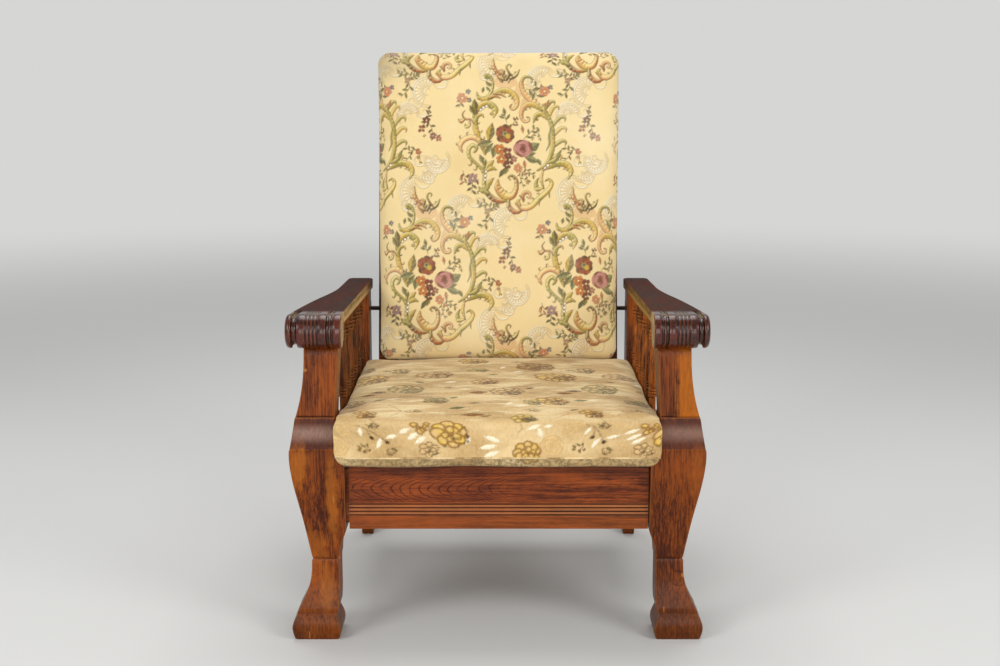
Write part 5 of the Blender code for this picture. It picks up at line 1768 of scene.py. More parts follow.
# Scrolls: points, widths in millimetres, threads, then acanthus fingers (their places, size and side)
SCROLLS = (
    (
        ((395, -20), (400, 50), (425, 105), (470, 135), (495, 120), (480, 100), (455, 108)),
        (3, 5, 6, 6, 5, 4, 2), "srrg", ((0.25, 0.45), 8, -1),
    ),
    (((520, 205), (470, 195), (440, 165), (425, 120)), (6, 7, 5, 2), "brs", None),
    (((515, 200), (570, 190), (620, 160), (655, 100)), (5, 7, 6, 1.5), "bbo", ((0.3, 0.6), 6, 1)),
    (((590, 180), (545, 120), (525, 70), (545, 38), (572, 52), (560, 75)), (2, 4, 4, 4, 3, 1.5), "bog", None),
    (((515, 195), (490, 150), (500, 120)), (6, 6, 2), "bb", None),
    (((520, 205), (550, 150), (540, 120)), (5, 5, 2), "bb", None),
    (((470, 200), (490, 235)), (5, 2), "bb", None), (((560, 200), (545, 240)), (5, 2), "bb", None),
    (
        ((280, 395), (345, 375), (388, 310), (392, 230), (365, 170), (325, 150), (318, 180)),
        (2, 4, 4.5, 4, 4, 6, 4), "ooo", ((0.25, 0.45, 0.65), 9, 1),
    ),
    (
        (
            (235, 335), (250, 380), (310, 402), (380, 372), (440, 325), (520, 305), (590, 340), (635, 410),
            (630, 475), (590, 510), (560, 480), (580, 455),
        ),
        (2, 6, 6, 7, 8, 8, 8, 8, 7, 6, 4, 2), "ogoggsr", ((0.42, 0.52, 0.62), 9, -1),
    ),
    (((345, 392), (410, 368), (470, 395)), (3, 5, 1.5), "gr", None),
    (((400, 352), (460, 345), (520, 385)), (3, 5, 1.5), "rg", None),
    (
        (
            (770, 235), (782, 200), (745, 172), (695, 182), (668, 240), (685, 330), (750, 410), (830, 470),
            (905, 540), (945, 620),
        ),
        (2, 4, 5, 6, 8, 9, 8, 7, 6, 3), "oosssgo", ((0.62, 0.74), 8, 1),
    ),
    (
        (
            (880, 520), (810, 462), (735, 452), (680, 500), (668, 575), (700, 628), (745, 625), (750, 590),
            (728, 582),
        ),
        (3, 7, 8, 8, 7, 6, 5, 4, 2), "ogsss", ((0.2, 0.34), 9, 1),
    ),
    (((940, 610), (870, 548), (812, 570), (792, 640)), (3, 7, 7, 2), "go", ((0.3, 0.5, 0.7), 8, 1)),
    (
        (
            (835, 1112), (905, 1060), (955, 980), (975, 880), (972, 780), (965, 680), (935, 590), (905, 520),
            (905, 450),
        ),
        (3, 5, 6, 7, 7, 7, 6, 4, 2), "ogogooog", ((0.22, 0.36, 0.50, 0.64, 0.78, 0.90), 22, -1),
    ),
    (((965, 690), (945, 770), (948, 850), (920, 920)), (2, 4, 4, 1.5), "oo", None),
    (
        ((195, 590), (240, 490), (310, 440), (380, 455), (425, 515), (400, 590)), (3, 8, 8, 9, 9, 2), "ogog",
        ((0.55, 0.72, 0.88), 9, -1),
    ),
    (((205, 590), (205, 480), (195, 430)), (4, 8, 2), "ob", None),
    (
        ((300, 590), (285, 560), (235, 575), (208, 640), (215, 720), (240, 800), (275, 880), (310, 960)),
        (2, 5, 7, 8, 8, 7, 6, 3), "goggo", ((0.25, 0.45, 0.62, 0.8), 10, 1),
    ),
    (((200, 650), (170, 610), (115, 605), (90, 560), (115, 520)), (3, 4, 4, 3, 1.5), "sro", None),
    (((110, 610), (75, 635), (50, 610)), (4, 6, 2), "rr", None),
    (((160, 610), (160, 670), (125, 690), (115, 660)), (2, 4, 5, 2), "so", None),
    (
        ((285, 910), (245, 830), (180, 795), (105, 820), (70, 880), (90, 935)), (3, 7, 8, 8, 7, 2), "osss",
        ((0.3, 0.45, 0.6, 0.75), 9, -1),
    ),
    (
        (
            (200, 940), (225, 900), (190, 875), (155, 910), (160, 980), (215, 1040), (275, 1095), (308, 1160),
            (308, 1250), (345, 1340), (430, 1405), (540, 1412),
        ),
        (3, 6, 6, 5, 4, 5, 5, 6, 7, 8, 8, 3), "ooooobobro", ((0.28, 0.36), 10, -1),
    ),
    (((345, 1340), (290, 1310), (250, 1280)), (5, 7, 2), "oo", ((0.5,), 8, 1)),
    (((320, 1110), (345, 1060), (395, 1020)), (5, 9, 2), "og", None),
    (((320, 1120), (375, 1090), (425, 1110)), (4, 7, 2), "go", None),
    (((335, 1300), (345, 1240), (395, 1195)), (4, 8, 2), "og", None),
    (((300, 1100), (295, 1030), (260, 975)), (3, 7, 2), "ob", None),
    (
        (
            (440, 1205), (432, 1290), (500, 1370), (585, 1375), (630, 1300), (630, 1210), (585, 1165),
            (545, 1180), (565, 1210),
        ),
        (2, 9, 12, 11, 9, 7, 6, 4, 2), "grgrrbg", ((0.12, 0.24), 10, 1),
    ),
    (((555, 1400), (560, 1470), (620, 1520), (700, 1500)), (4, 7, 7, 2), "brr", None),
    (((560, 1440), (545, 1495)), (4, 2), "bo", None),
    (
        (
            (620, 1440), (690, 1490), (775, 1475), (860, 1395), (950, 1310), (985, 1240), (950, 1195),
            (915, 1215),
        ),
        (3, 9, 8, 8, 8, 7, 5, 2), "rsgoggo", ((0.2, 0.34, 0.48), 10, 1),
    ),
    (((665, 1465), (640, 1420), (665, 1400)), (3, 6, 2), "gg", None),
    (
        ((700, 1420), (690, 1350), (735, 1320), (770, 1350), (755, 1385), (732, 1372)), (3, 5, 6, 5, 4, 2),
        "rss", None,
    ),
    (((695, 1400), (660, 1360)), (4, 2), "rr", None), (((860, 1395), (855, 1460)), (4, 1.5), "ob", None),
    (((950, 1320), (960, 1380)), (4, 1.5), "oo", None),
    (((895, 1110), (880, 1200), (905, 1290)), (3, 5, 2), "sgo", None),
    (((895, 1285), (835, 1300), (820, 1240), (845, 1190)), (3, 7, 6, 2), "goo", None),
    (
        ((890, 1105), (970, 1060), (1060, 1035), (1140, 1060), (1175, 1130), (1140, 1200)),
        (3, 8, 9, 9, 7, 2), "gogo", ((0.3, 0.45, 0.6), 10, -1),
    ),
    (((930, 1040), (1000, 1010), (1040, 960), (1065, 915)), (3, 7, 6, 1.5), "oo", None),
)
# Leaves: place, half length and half width in millimetres, turn, dark and pale thread
FOLIAGE = (
    ((365, 740), 22, 9.5, 78, "dg"), ((305, 850), 17, 7, 195, "dm"), ((350, 900), 15, 6, 235, "dm"),
    ((400, 930), 15, 6.5, 260, "dm"), ((795, 880), 15, 10, 30, "dm"), ((780, 1005), 17, 7, -20, "dm"),
    ((855, 1030), 9, 4, -60, "dm"), ((765, 950), 12, 6, 10, "dm"), ((480, 1140), 12, 5, 240, "dd"),
    ((525, 1110), 11, 5, 250, "do"), ((505, 530), 9, 4, 100, "dm"), ((480, 585), 7, 3, 160, "dm"),
    ((545, 580), 7, 3, 60, "dm"), ((685, 705), 9, 3.5, 100, "rs"), ((295, 310), 7, 3.5, 80, "dm"),
    ((345, 250), 9, 3.5, 130, "dm"), ((345, 300), 7, 3, 130, "dm"), ((930, 450), 9, 3.5, 75, "rs"),
    ((215, 470), 15, 7, 95, "bo"), ((1040, 960), 11, 4, 65, "om"), ((185, 515), 12, 5, 115, "bo"),
    ((275, 1010), 12, 5, 112, "dm"), ((560, 680), 7, 3, 60, "bo"), ((710, 1050), 9, 4, -80, "rs"),
)
# Flowers: place, radius in millimetres, petals, their threads and turn
FLOWERS = (
    ((512, 755), 21, 11, "rwrb", 20), ((455, 905), 12, 6, "kr", 10), ((475, 1005), 12, 6, "rk", 40),
    ((500, 950), 9, 5, "kr", 0), ((535, 935), 11, 5, "ww", 30), ((560, 1010), 11, 5, "wb", 0),
    ((530, 1065), 9, 5, "wb", 50), ((645, 1090), 10, 6, "pk", 20), ((600, 1000), 8, 5, "pw", 10),
    ((625, 600), 5, 3, "ww", 90), ((628, 650), 5.5, 3, "wp", 90), ((700, 1140), 5, 4, "pk", 0),
    ((780, 795), 5, 4, "dm", 0), ((90, 395), 12, 6, "pk", 0), ((150, 330), 6, 5, "ll", 0),
    ((155, 415), 6, 5, "ld", 0), ((190, 1195), 11, 6, "lp", 20), ((900, 325), 12, 6, "kp", 0),
    ((960, 285), 6, 5, "ll", 30), ((1130, 215), 8, 5, "mp", 0), ((1235, 930), 7, 5, "rr", 0),
    ((1230, 985), 4, 4, "rr", 0), ((1320, 615), 9, 5, "bw", 0), ((1270, 700), 9, 4, "rw", 45),
    ((1385, 770), 8, 5, "bp", 0), ((1440, 800), 7, 5, "rp", 20), ((1345, 535), 5, 4, "bb", 0),
    ((1300, 770), 4, 4, "rr", 0),
)
# Sprays: points, half length of the leaves in millimetres, their threads, their number, the flower's thread
SPRAYS = (
    (((560, 690), (600, 640), (625, 600)), 5, "do", 2, None),
    (((530, 640), (515, 590), (505, 545)), 5, "dm", 2, None),
    (((700, 800), (760, 740), (820, 690), (850, 700)), 6, "dm", 5, None),
    (((760, 790), (820, 740), (860, 780), (840, 810)), 4, "dm", 4, None),
    (((660, 1120), (670, 1190), (700, 1280)), 4, "dm", 4, None),
    (((660, 1120), (730, 1170), (740, 1230)), 5, "dm", 4, "k"),
    (((700, 1080), (770, 1140), (820, 1170)), 5, "do", 5, None),
    (((720, 300), (790, 320), (840, 390)), 9, "dm", 4, None),
    (((900, 325), (840, 290), (790, 260)), 7, "dm", 3, None),
    (((90, 395), (75, 440), (60, 490)), 6, "bm", 3, None),
    (((90, 1120), (120, 1180), (190, 1195), (250, 1210)), 7, "rb", 5, None),
    (((190, 1200), (185, 1270), (180, 1340)), 7, "dd", 4, None),
    (((150, 1240), (100, 1230), (60, 1200)), 6, "rs", 3, None),
    (((1130, 215), (1150, 280), (1110, 340), (1060, 380)), 7, "dm", 5, None),
    (((1130, 215), (1080, 160), (1020, 140)), 6, "mm", 3, None),
    (((1130, 215), (1180, 180), (1240, 150)), 5, "dm", 3, None),
    (((1230, 900), (1150, 920), (1100, 880)), 6, "do", 4, None),
    (((1180, 910), (1140, 980), (1100, 1020)), 5, "dm", 3, None),
    (((1320, 615), (1290, 660), (1270, 700)), 5, "bo", 3, None),
    (((1320, 615), (1370, 690), (1385, 770), (1440, 800)), 6, "db", 6, None),
    (((1320, 615), (1345, 535), (1330, 480)), 5, "bb", 3, None),
    (((380, 1500), (330, 1440), (260, 1430)), 6, "mm", 4, None),
    (((380, 1500), (440, 1460)), 5, "dm", 2, "m"),
    (((1235, 930), (1250, 1000), (1240, 1060)), 4, "do", 2, None),
)
# Pearls: place and radius in millimetres
PEARLS = (
    ((270, 512), 2.4), ((298, 490), 2.6), ((330, 474), 2.4), ((320, 1130), 2.4), ((315, 1170), 2.7),
    ((312, 1208), 2.4), ((938, 1062), 2.6), ((912, 1086), 2.2),
)
# Cream shells and scrolls that only stand up from the ground: place, radius in millimetres and turn
SHELLS = (
    ((1330, 330), 26, 70), ((1200, 1330), 28, 100), ((1290, 1100), 22, 250), ((80, 1500), 24, 60),
    ((1130, 560), 20, 20), ((1420, 1010), 22, 190),
)

# The scroll at each side of a shell
CURL = ((0, 0), (0.5, -0.5), (1.1, -0.45), (1.3, 0.1), (0.95, 0.3), (0.8, 0))


def sheet(point):
    """A place on the sheet in millimetres from the medallion's middle."""
    return (np.array(point, float) - SHEET_MIDDLE) * (SHEET_STEP, -SHEET_STEP)


def dyed(**shades):
    """The threads of a figure by the letters that its lists use."""
    return {letter: np.array(shade) for letter, shade in shades.items()}


def tapestry_figure():
    t = threads()
    dyes = dyed(
        g=t.gold, o=t.olive, s=t.salmon, r=t.rust, b=t.brown, d=t.sage, m=t.moss, p=t.rose, w=t.wine,
        k=t.orange, l=t.slate, c=t.relief,
    )
    edge, pale = dyes["b"], np.array(t.gold_light)
    cloth = Print(*TAPESTRY_REPEAT, np.array(t.ground), TAPESTRY_DROPS)
    shadow = np.array(t.ground_shadow)
    for middle, radius, turn in SHELLS:
        middle = sheet(middle)
        ridges = []
        for number in range(11):
            ray = toward(turn + number * 17) * radius
            ridges.append(((middle + ray * 0.35, middle + ray), (1.8, 5.4)))
        for size in (0.28, 1.12, 1.3):
            arc = [middle + radius * size * toward(turn + more) for more in range(-30, 240, 30)]
            ridges.append((arc, (1, 3.6, 4.6, 3.6, 1)))
        for side in (-1, 1):
            start = middle + side * radius * 0.9 * toward(turn)
            ridges.append(([start + radius * np.array([side * a, b]) for a, b in CURL], (1, 4, 5, 4, 3, 1)))
        for points, widths in ridges:
            cloth.stroke(points, widths, (dyes["c"],), shadow, lift=1.0, amount=0.95)
    for middle, radii, turn in TRELLIS:
        radii = np.array(radii) * SHEET_STEP

        def net(u, v, inside):
            along, across = u * radii[0], v * radii[1]
            lines = np.maximum(np.sin((along + across) * 0.95), np.sin((along - across) * 0.95))
            ink = np.clip(lines * 2.2 - 0.7, 0, 1)[..., None] * 0.75
            return np.array(t.ground) * 0.99 + (dyes["s"] - np.array(t.ground)) * (0.14 + ink * 0.86)

        cloth.oval(sheet(middle), radii, turn, net, lift=0.2, amount=0.9)
    for points, widths, dye, fingers in SCROLLS:
        points = [sheet(point) for point in points]
        if fingers:
            cloth.plume(points, *fingers, [dyes[letter] for letter in dye[1:3]], edge, pale)
        lobes = 8.5 * (fingers[2] if fingers else -1) if max(widths) >= 5 else 0.0
        cloth.stroke(
            points, [wide * t.boldness for wide in widths], [dyes[letter] for letter in dye], edge, pale,
            lobes=lobes,
        )
    for points, size, dye, count, tip in SPRAYS:
        cloth.spray(
            [sheet(point) for point in points], size, dyes[dye[0]], dyes[dye[1]], dyes["b"] * 0.9, count,
            tip and dyes[tip],
        )
    for middle, long, wide, turn, dye in FOLIAGE:
        cloth.leaf(sheet(middle), long, wide, turn, dyes[dye[0]], dyes[dye[1]], edge * 0.7)
    rose = sheet((690, 895))
    for radius, count, dye, turn in (
        (20, 6, "pw", 10), (15, 5, "pp", 40), (10.5, 4, "wp", 0), (6.5, 3, "ww", 60),
    ):
        cloth.petals(
            rose, radius, count, [dyes[letter] for letter in dye], dyes["w"] * 0.75, wide=0.62, turn=turn,
            reach=0.5,
        )
    for middle, radius, count, dye, turn in FLOWERS:
        middle = sheet(middle)
        cloth.petals(middle, radius, count, [dyes[letter] for letter in dye], dyes["w"] * 0.65, turn=turn)
        cloth.disc(middle, max(radius * 0.22, 1.3), pale, edge)
    cloth.disc(sheet((512, 755)), 6.5, dyes["m"], edge)
    cloth.disc(sheet((540, 775)), 6.0, dyes["g"], edge)
    cloth.disc(sheet((512, 748)), 2.2, dyes["b"] * 0.3)
    for middle, radius in PEARLS:
        cloth.disc(sheet(middle), radius + 1.1, edge * 0.5)
        cloth.disc(sheet(middle), radius, np.array(t.relief))
    return cloth


# The velour's figure, in millimetres from the middle of the seat's front top edge. Up is backwards

VELOUR_REPEAT = (366.0, 700.0)
# Blooms: place, radii, petals, turn, shades of the heart and the rim, thread and width of the outline
BLOOMS = (
    ((-122, -9), (20, 16), 3, 20, "ey", "g", 4.4), ((-78, -24), (34, 29), 8, 8, "ey", "g", 4.4),
    ((-117, -57), (20, 15), 6, 18, "ee", "b", 3.0), ((50, -62), (28, 22), 8, 0, "ey", "g", 4.4),
    ((-125, 366), (41, 38), 9, 0, "ee", "g", 8.0), ((112, 345), (43, 44), 9, 10, "ey", "g", 8.5),
    ((97, 130), (31, 34), 7, 0, "ey", "g", 8.0), ((-25, 295), (28, 26), 7, 20, "ee", "g", 7.0),
    ((17, 210), (35, 36), 8, 0, "ee", "b", 7.5), ((-174, 238), (35, 40), 9, 0, "ee", "o", 8.5),
    ((-50, 512), (34, 34), 8, 0, "ey", "g", 8.5), ((75, 455), (45, 38), 9, 0, "eo", "g", 8.5),
    ((-112, 135), (23, 28), 5, 0, "eo", "o", 7.0), ((60, 115), (17, 24), 5, 0, "ey", "o", 6.5),
    ((-195, 415), (20, 30), 6, 0, "ee", "n", 6.5), ((40, 18), (24, 16), 6, 0, "ey", "o", 5.0),
    ((150, 40), (22, 20), 5, 30, "ey", "g", 6.5), ((-40, 410), (22, 24), 6, 0, "ey", "o", 7.0),
)
# Long leaves: place, half length and half width, turn, and thread
VELOUR_LEAVES = (
    ((-149, -18), 13, 4.2, 28, "c"), ((-139, -29), 15, 4.4, 32, "c"), ((-129, -37), 14, 4.4, 34, "c"),
    ((-51, -37), 11, 6, 75, "c"), ((-92, -48), 8, 3, -40, "d"), ((-175, -30), 13, 4, 18, "c"),
    ((-200, -43), 14, 4, 62, "c"), ((-221, -19), 11, 3.5, 68, "c"), ((-8, -36), 17, 5, -24, "c"),
    ((-16, -52), 17, 5, 12, "c"), ((-10, -66), 16, 5, 22, "c"), ((57, -12), 14, 4.2, 28, "c"),
    ((69, -24), 13, 4.2, -66, "c"), ((80, -10), 8, 3, 10, "c"), ((-56, -14), 8, 4, 40, "b"),
    ((-50, -30), 6, 4, 90, "b"), ((40, 88), 15, 4, 20, "c"), ((20, 104), 14, 4, 60, "c"),
    ((-190, 150), 15, 4, 30, "c"), ((-60, 232), 14, 4, -20, "c"), ((-80, 160), 12, 6, 60, "o"),
    ((-40, 110), 12, 5, 10, "o"), ((60, 240), 12, 5, 50, "n"), ((-90, 300), 14, 6, 15, "c"),
    ((40, 400), 14, 6, 30, "c"), ((-150, 300), 12, 5, 150, "o"), ((-10, 360), 12, 5, 20, "o"),
    ((150, 142), 15, 8, 20, "o"), ((-240, 60), 11, 4, 40, "o"), ((10, 440), 12, 5, 70, "c"),
    ((-35, 203), 19, 11, 8, "g"), ((142, 215), 18, 9, 10, "b"), ((-243, 195), 18, 8, 5, "g"),
    ((-40, 35), 20, 8, 5, "g"), ((-68, 76), 15, 9, 20, "o"),
)
# Stems and the dark berries at their ends
VELOUR_STEMS = (
    (((-226, -6), (-208, -14), (-186, -41)), "n", True), (((-210, -16), (-209, -32)), "n", True),
    (((-204, 20), (-196, 5), (-190, -8)), "b", False), (((36, -2), (39, -14), (32, -24)), "d", False),
    (((-250, 40), (-262, 26), (-280, 12)), "r", False), (((-60, 60), (-20, 44), (30, 50)), "o", False),
    (((-120, 44), (-60, 36), (-20, 60)), "o", False), (((-190, 100), (-160, 60), (-172, 30)), "b", False),
    (((40, 60), (80, 96), (86, 150)), "o", False), (((-140, 160), (-120, 190), (-150, 210)), "o", False),
    (((20, 240), (60, 270), (90, 300)), "b", False), (((-80, 400), (-60, 450), (-54, 480)), "o", False),
    (((60, 390), (40, 350), (10, 310)), "b", False), (((-200, 300), (-170, 330), (-150, 350)), "o", False),
    (((-30, 140), (10, 150), (40, 170)), "d", False),
)
# Specks and pale roses: place and radius
SPECKLES = (
    (-227, -53, 12), (-196, -6, 11), (-180, -60, 10), (-40, -84, 14), (60, 60, 12), (-140, 60, 14),
    (-90, 250, 12), (40, 500, 14), (-230, 420, 12), (-20, 30, 9),
)
FAINT_ROSES = (
    (115, -20, 13), (92, -50, 21), (128, -2, 11), (-95, 190, 24), (60, 130, 22), (-220, 340, 22),
    (-30, 420, 22),
)


def velour_figure():
    t = threads()
    dyes = dyed(
        c=t.velour_pale, y=t.velour_yellow, g=t.velour_gold, o=t.velour_olive, b=t.velour_brown,
        r=t.rust, d=t.velour_grey, n=t.velour_dark,
    )
    ground = np.array(t.velour_ground)
    dyes["e"] = ground * 1.08
    cloth = Print(*VELOUR_REPEAT, ground, soft=1.6)
    for x, y, radius in FAINT_ROSES:
        for size, count in ((1.0, 6), (0.66, 5), (0.36, 4)):
            cloth.petals(
                (x, y), radius * size, count, (ground * 1.03, ground * 1.16), ground * 0.80, wide=0.6,
                reach=0.5, line=2.0,
            )
    for points, dye, berry in VELOUR_STEMS:
        cloth.stroke(points, (1.4, 2.0, 1.4), (dyes[dye],), amount=0.9)
        if berry:
            cloth.disc(points[-1], 3.9, dyes["n"])
    for middle, long, wide, turn, dye in VELOUR_LEAVES:
        cloth.leaf(middle, long, wide, turn, dyes[dye] * 0.93, dyes[dye] * 1.05, dyes[dye] * 0.8)
    for x, y, radius in SPECKLES:
        cloth.specks(
            (x, y), (radius, radius * 0.8), int(radius * 2.4), [dyes[letter] for letter in "bdnbog"],
            (0.8, 1.6),
        )
    for middle, radii, lobes, turn, fill, outline, line in BLOOMS:
        heart, rim = [dyes[letter] for letter in fill]
        inner = (radii[0] * 0.52, radii[1] * 0.52)
        size = (radii[0] + radii[1]) / 2
        line = line * 0.75 if middle[1] > 0 else line
        cloth.petals(
            middle, size, lobes, (rim, heart), dyes[outline], wide=0.40, turn=turn, reach=0.60, line=line,
        )
        cloth.petals(
            (middle[0] + 2, middle[1] - 2), size * 0.62, max(lobes - 3, 3), (heart, rim), dyes[outline],
            wide=0.42, turn=turn + 25, reach=0.5, line=line * 0.8,
        )
        grains = [dyes[letter] for letter in ("gnb" if outline == "g" else "dnb")]
        front = middle[1] < 0
        cloth.specks(
            (middle[0] + radii[0] * 0.4, middle[1] - radii[1] * 0.35), inner,
            int(radii[0] * (0.5 if front else 1.4)), grains, (0.9, 1.5 if front else 3.0),
        )
    return cloth


# Cloth materials


def tapestry_cloth():
    t = threads()
    finish = Finish("floral_tapestry_cloth", Sheen_Weight=0.15, Sheen_Roughness=0.5, Specular_IOR_Level=0.25)
    place = finish.place()
    cloth = finish.node("ShaderNodeUVMap", {"uv_map": "cloth"})
    across, along, _ = finish.parts(cloth)
    ribs = finish.sine(along * (2 * math.pi / 0.0013)) * 0.5 + 0.5
    warp = finish.sine(across * (2 * math.pi / 0.0009)) * 0.5 + 0.5
    slubs = finish.noise(finish.moved(cloth, scale=(160, 1400, 1)), 1.0, 2.0)
    flecks = finish.noise(finish.moved(cloth, scale=(500, 900, 1)), 1.0, 2.0, 0.7)
    worn = finish.noise(place, 7.0, 5.0, 0.6)
    shade = finish.attribute("print", "Color")
    shade = finish.mix(finish.step(flecks, 0.42, 0.75) * 0.20, shade, t.relief)
    shade = finish.mix((1 - finish.step(flecks, 0.25, 0.52)) * 0.22, shade, t.ground_shadow)
    shade = finish.mix(finish.step(slubs, 0.55, 0.80) * 0.10, shade, t.brown)
    shade = finish.mix((1 - ribs) * 0.10, shade, t.brown)
    shade = finish.mix(finish.step(worn, 0.50, 0.74) * 0.16, shade, t.relief)
    shade = finish.mix((1 - finish.step(worn, 0.24, 0.46)) * 0.20, shade, t.ground_shadow)
    dirt = finish.attribute("dirt")
    shade = finish.mix(dirt * (0.75 + (worn - 0.5)), shade, t.dirt)
    height = ribs * 0.35 + warp * 0.15 + finish.attribute("raised") * 1.8
    normal = finish.bump(height, 0.0005)
    return finish.wear(Base_Color=shade, Roughness=0.84 + (flecks - 0.5) * 0.12, Normal=normal)


def velour_cloth():
    t = threads()
    finish = Finish("worn_velour_cloth", Sheen_Weight=0.15, Sheen_Roughness=0.35, Specular_IOR_Level=0.2)
    place = finish.place()
    cloth = finish.node("ShaderNodeUVMap", {"uv_map": "cloth"})
    nap = finish.noise(cloth, 900.0, 2.0, 0.7)
    pile = finish.noise(finish.moved(cloth, scale=(1, 0.35, 1)), 260.0, 3.0, 0.7)
    crush = finish.noise(finish.moved(place, (0.2, 0.1, 0.0), scale=(0.7, 1.3, 1)), 11.0, 4.0, 0.55)
    streak = finish.noise(finish.moved(place, (0.5, 0.3, 0.2), scale=(0.35, 1.6, 1)), 40.0, 3.0, 0.6)
    top = finish.step(finish.parts(place)[2], 0.4200, 0.4370)
    shade = finish.attribute("print", "Color")
    # The top is painted paler and greyer in crushed patches, with its print broken up by them: a painted
    # sheen.
    top_sheen = finish.mix(
        finish.step(crush + (streak - 0.5) * 0.7, 0.38, 0.60), t.velour_shadow, t.velour_crushed_sheen,
    )
    printed = finish.step(finish.attribute("raised"), 0.05, 0.35)
    bare = 1 - printed * 0.92
    gaps = finish.step(finish.noise(cloth, 230.0, 3.0, 0.75), 0.50, 0.58)
    shade = finish.mix(top * printed * gaps * 0.50, shade, top_sheen)
    shade = finish.mix(top * bare * (0.30 + finish.step(streak, 0.42, 0.62) * 0.50), shade, top_sheen)
    front_tone = finish.mix(finish.step(crush, 0.35, 0.65), t.velour_light, t.velour_shadow)
    shade = finish.mix((1 - top) * bare * (0.20 + finish.step(streak, 0.30, 0.62) * 0.40), shade, front_tone)
    shade = finish.mix(finish.step(pile, 0.45, 0.75) * bare * 0.26, shade, t.velour_crushed_sheen)
    shade = finish.mix((1 - finish.step(pile, 0.25, 0.52)) * 0.26, shade, t.velour_shadow)
    shade = finish.mix((1 - finish.step(nap, 0.30, 0.50)) * 0.16, shade, t.velour_brown)
    # On the seat the dirt attribute also carries painted shade, on the band under the seam and in the side
    # creases.
    dirt = finish.attribute("dirt")
    grime = finish.noise(place, 150.0, 4.0, 0.7)
    shade = finish.mix(dirt * (0.35 + finish.step(grime, 0.42, 0.60) * 0.55), shade, t.dirt)
    normal = finish.bump(nap * 0.4 + pile * 0.6 + crush * 2.0 + finish.attribute("raised"), 0.0009)
    return finish.wear(Base_Color=shade, Roughness=0.82 + (crush - 0.5) * 0.2, Normal=normal)


def mark_dirt_and_shade(obj, amounts):
    obj.data.attributes.new("dirt", "FLOAT", "POINT").data.foreach_set(
        "value", np.clip(amounts, 0, 1).astype(np.float32),
    )


def between_smooth(values, low, high):
    part = np.clip((values - low) / (high - low), 0, 1)
    return part * part * (3 - 2 * part)


def fitted(points, low, high):
    """The points stretched along each axis to fill the box."""
    least, most = points.min(0), points.max(0)
    return np.array(low) + (points - least) * (np.array(high) - low) / (most - least)


class ARMCHAIR_OT_seat_cushion(bpy.types.Operator):
    """Stuff the loose seat cushion, cover it with worn velour and pipe its lower seam"""

    bl_idname = "armchair.seat_cushion"
    bl_label = "Seat cushion"

    def execute(self, context):
        low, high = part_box("seat_cushion")
        size = high - low
        start = (size.x - 0.002, size.y - 0.002, size.z - 0.001)
        box, faces, raw = cushion_lattice(start, (0.010, 0.010, 0.012), 0.008)
        cloth = unrolled(raw, faces, start, 2, 1)
        cloth = cloth + [0.0, start[1] / 2]
        points = box.copy()
        held = raw[:, 2] < -start[2] / 2 + 1e-6
        points = stuffed("seat_stuffing", box, faces, held, threads().pressure, threads().swell)
        points = box * 0.62 + points * 0.38
        above = between_smooth(raw[:, 2], -start[2] / 2, start[2] / 2)
        crown = (
            np.cos(raw[:, 0] / start[0] * math.pi) ** 0.7
            * np.clip(np.cos((raw[:, 1] - 0.08) / start[1] * 2.4), 0, 1) ** 0.7
        )
        points = fitted(points, low, high)
        points[:, 2] += crown * above * threads().crown
        points += waves(points, 3, 0.16)[:, None] * np.array([0.0006, 0.0012, 0.0014])
        dents = waves(points, 17, 0.07, 9)
        points[:, 1] += np.where(raw[:, 1] < -start[1] / 2 + 0.001, dents * 0.0012, 0)
        points = relaxed(points, faces, 0.4)
        seat_into_frame(points, low, high)
        piece = fine_cover(
            "seat_cushion_velour", points, faces, cloth, lambda normal: normal.z > -0.2, velour_cloth()
        )
        print_on(piece, velour_figure(), blur=0.7)
        found = mesh_points(piece.data)
        seam = low.z + threads().seam
        # The band below the seam curves under and is marked as dirt: painted shade, with grime speckles from
        # the material. The creases beside the front legs get the same: grime and painted shade.
        under = 1 - between_smooth(found[:, 2], seam - 0.002, seam + 0.001)
        creases = between_smooth(np.abs(found[:, 0]), 0.262, 0.292) * 0.35
        mark_dirt_and_shade(piece, 1.0 * under + creases * between_smooth(found[:, 1], -0.40, -0.30))
        stands_for(piece, "worn_velour", "seat_cushion")
        self.piping(points, raw, start, low)
        return {"FINISHED"}

    def piping(self, points, raw, start, low):
        """A rolled seam round the cushion, laid on the skin at the seam's height."""
        wall = (np.abs(raw[:, 0]) > start[0] / 2 - 1e-6) | (np.abs(raw[:, 1]) > start[1] / 2 - 1e-6)
        columns = {}
        for spot, place in zip(points[wall], raw[wall]):
            columns.setdefault((round(place[0], 5), round(place[1], 5)), []).append(spot)
        ring = sorted(columns, key=lambda key: math.atan2(key[1] / start[1], key[0] / start[0]))
        path = []
        for key in ring:
            column = np.array(sorted(columns[key], key=lambda spot: spot[2]))
            path.append(
                [np.interp(low.z + threads().seam, column[:, 2], column[:, axis]) for axis in range(3)]
            )
        path = np.array(path)
        for _ in range(2):
            path = (np.roll(path, 1, 0) + 2 * path + np.roll(path, -1, 0)) / 4
        inwards = np.column_stack([-path[:, 0], -path[:, 1], np.zeros(len(path))])
        inwards /= np.linalg.norm(inwards, axis=1, keepdims=True)
        path += inwards * np.where(path[:, 1] < -0.405, 0.0004, 0.0012)[:, None]
        edges = [(n, (n + 1) % len(path)) for n in range(len(path))]
        settings = {"Radius": threads().piping, "Stitch spacing": 0.006, "Stitch radius": 0.0004}
        piece = grown_from("seat_cushion_piping", path, edges, (), piping_tree(), settings, piping_cloth())
        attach(piece, NODES["seat_cushion"]["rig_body"])


KNEE_FACE, LEG_BACK = -0.4025, -0.312  # the depths between which the seat cushion lies beside the front legs


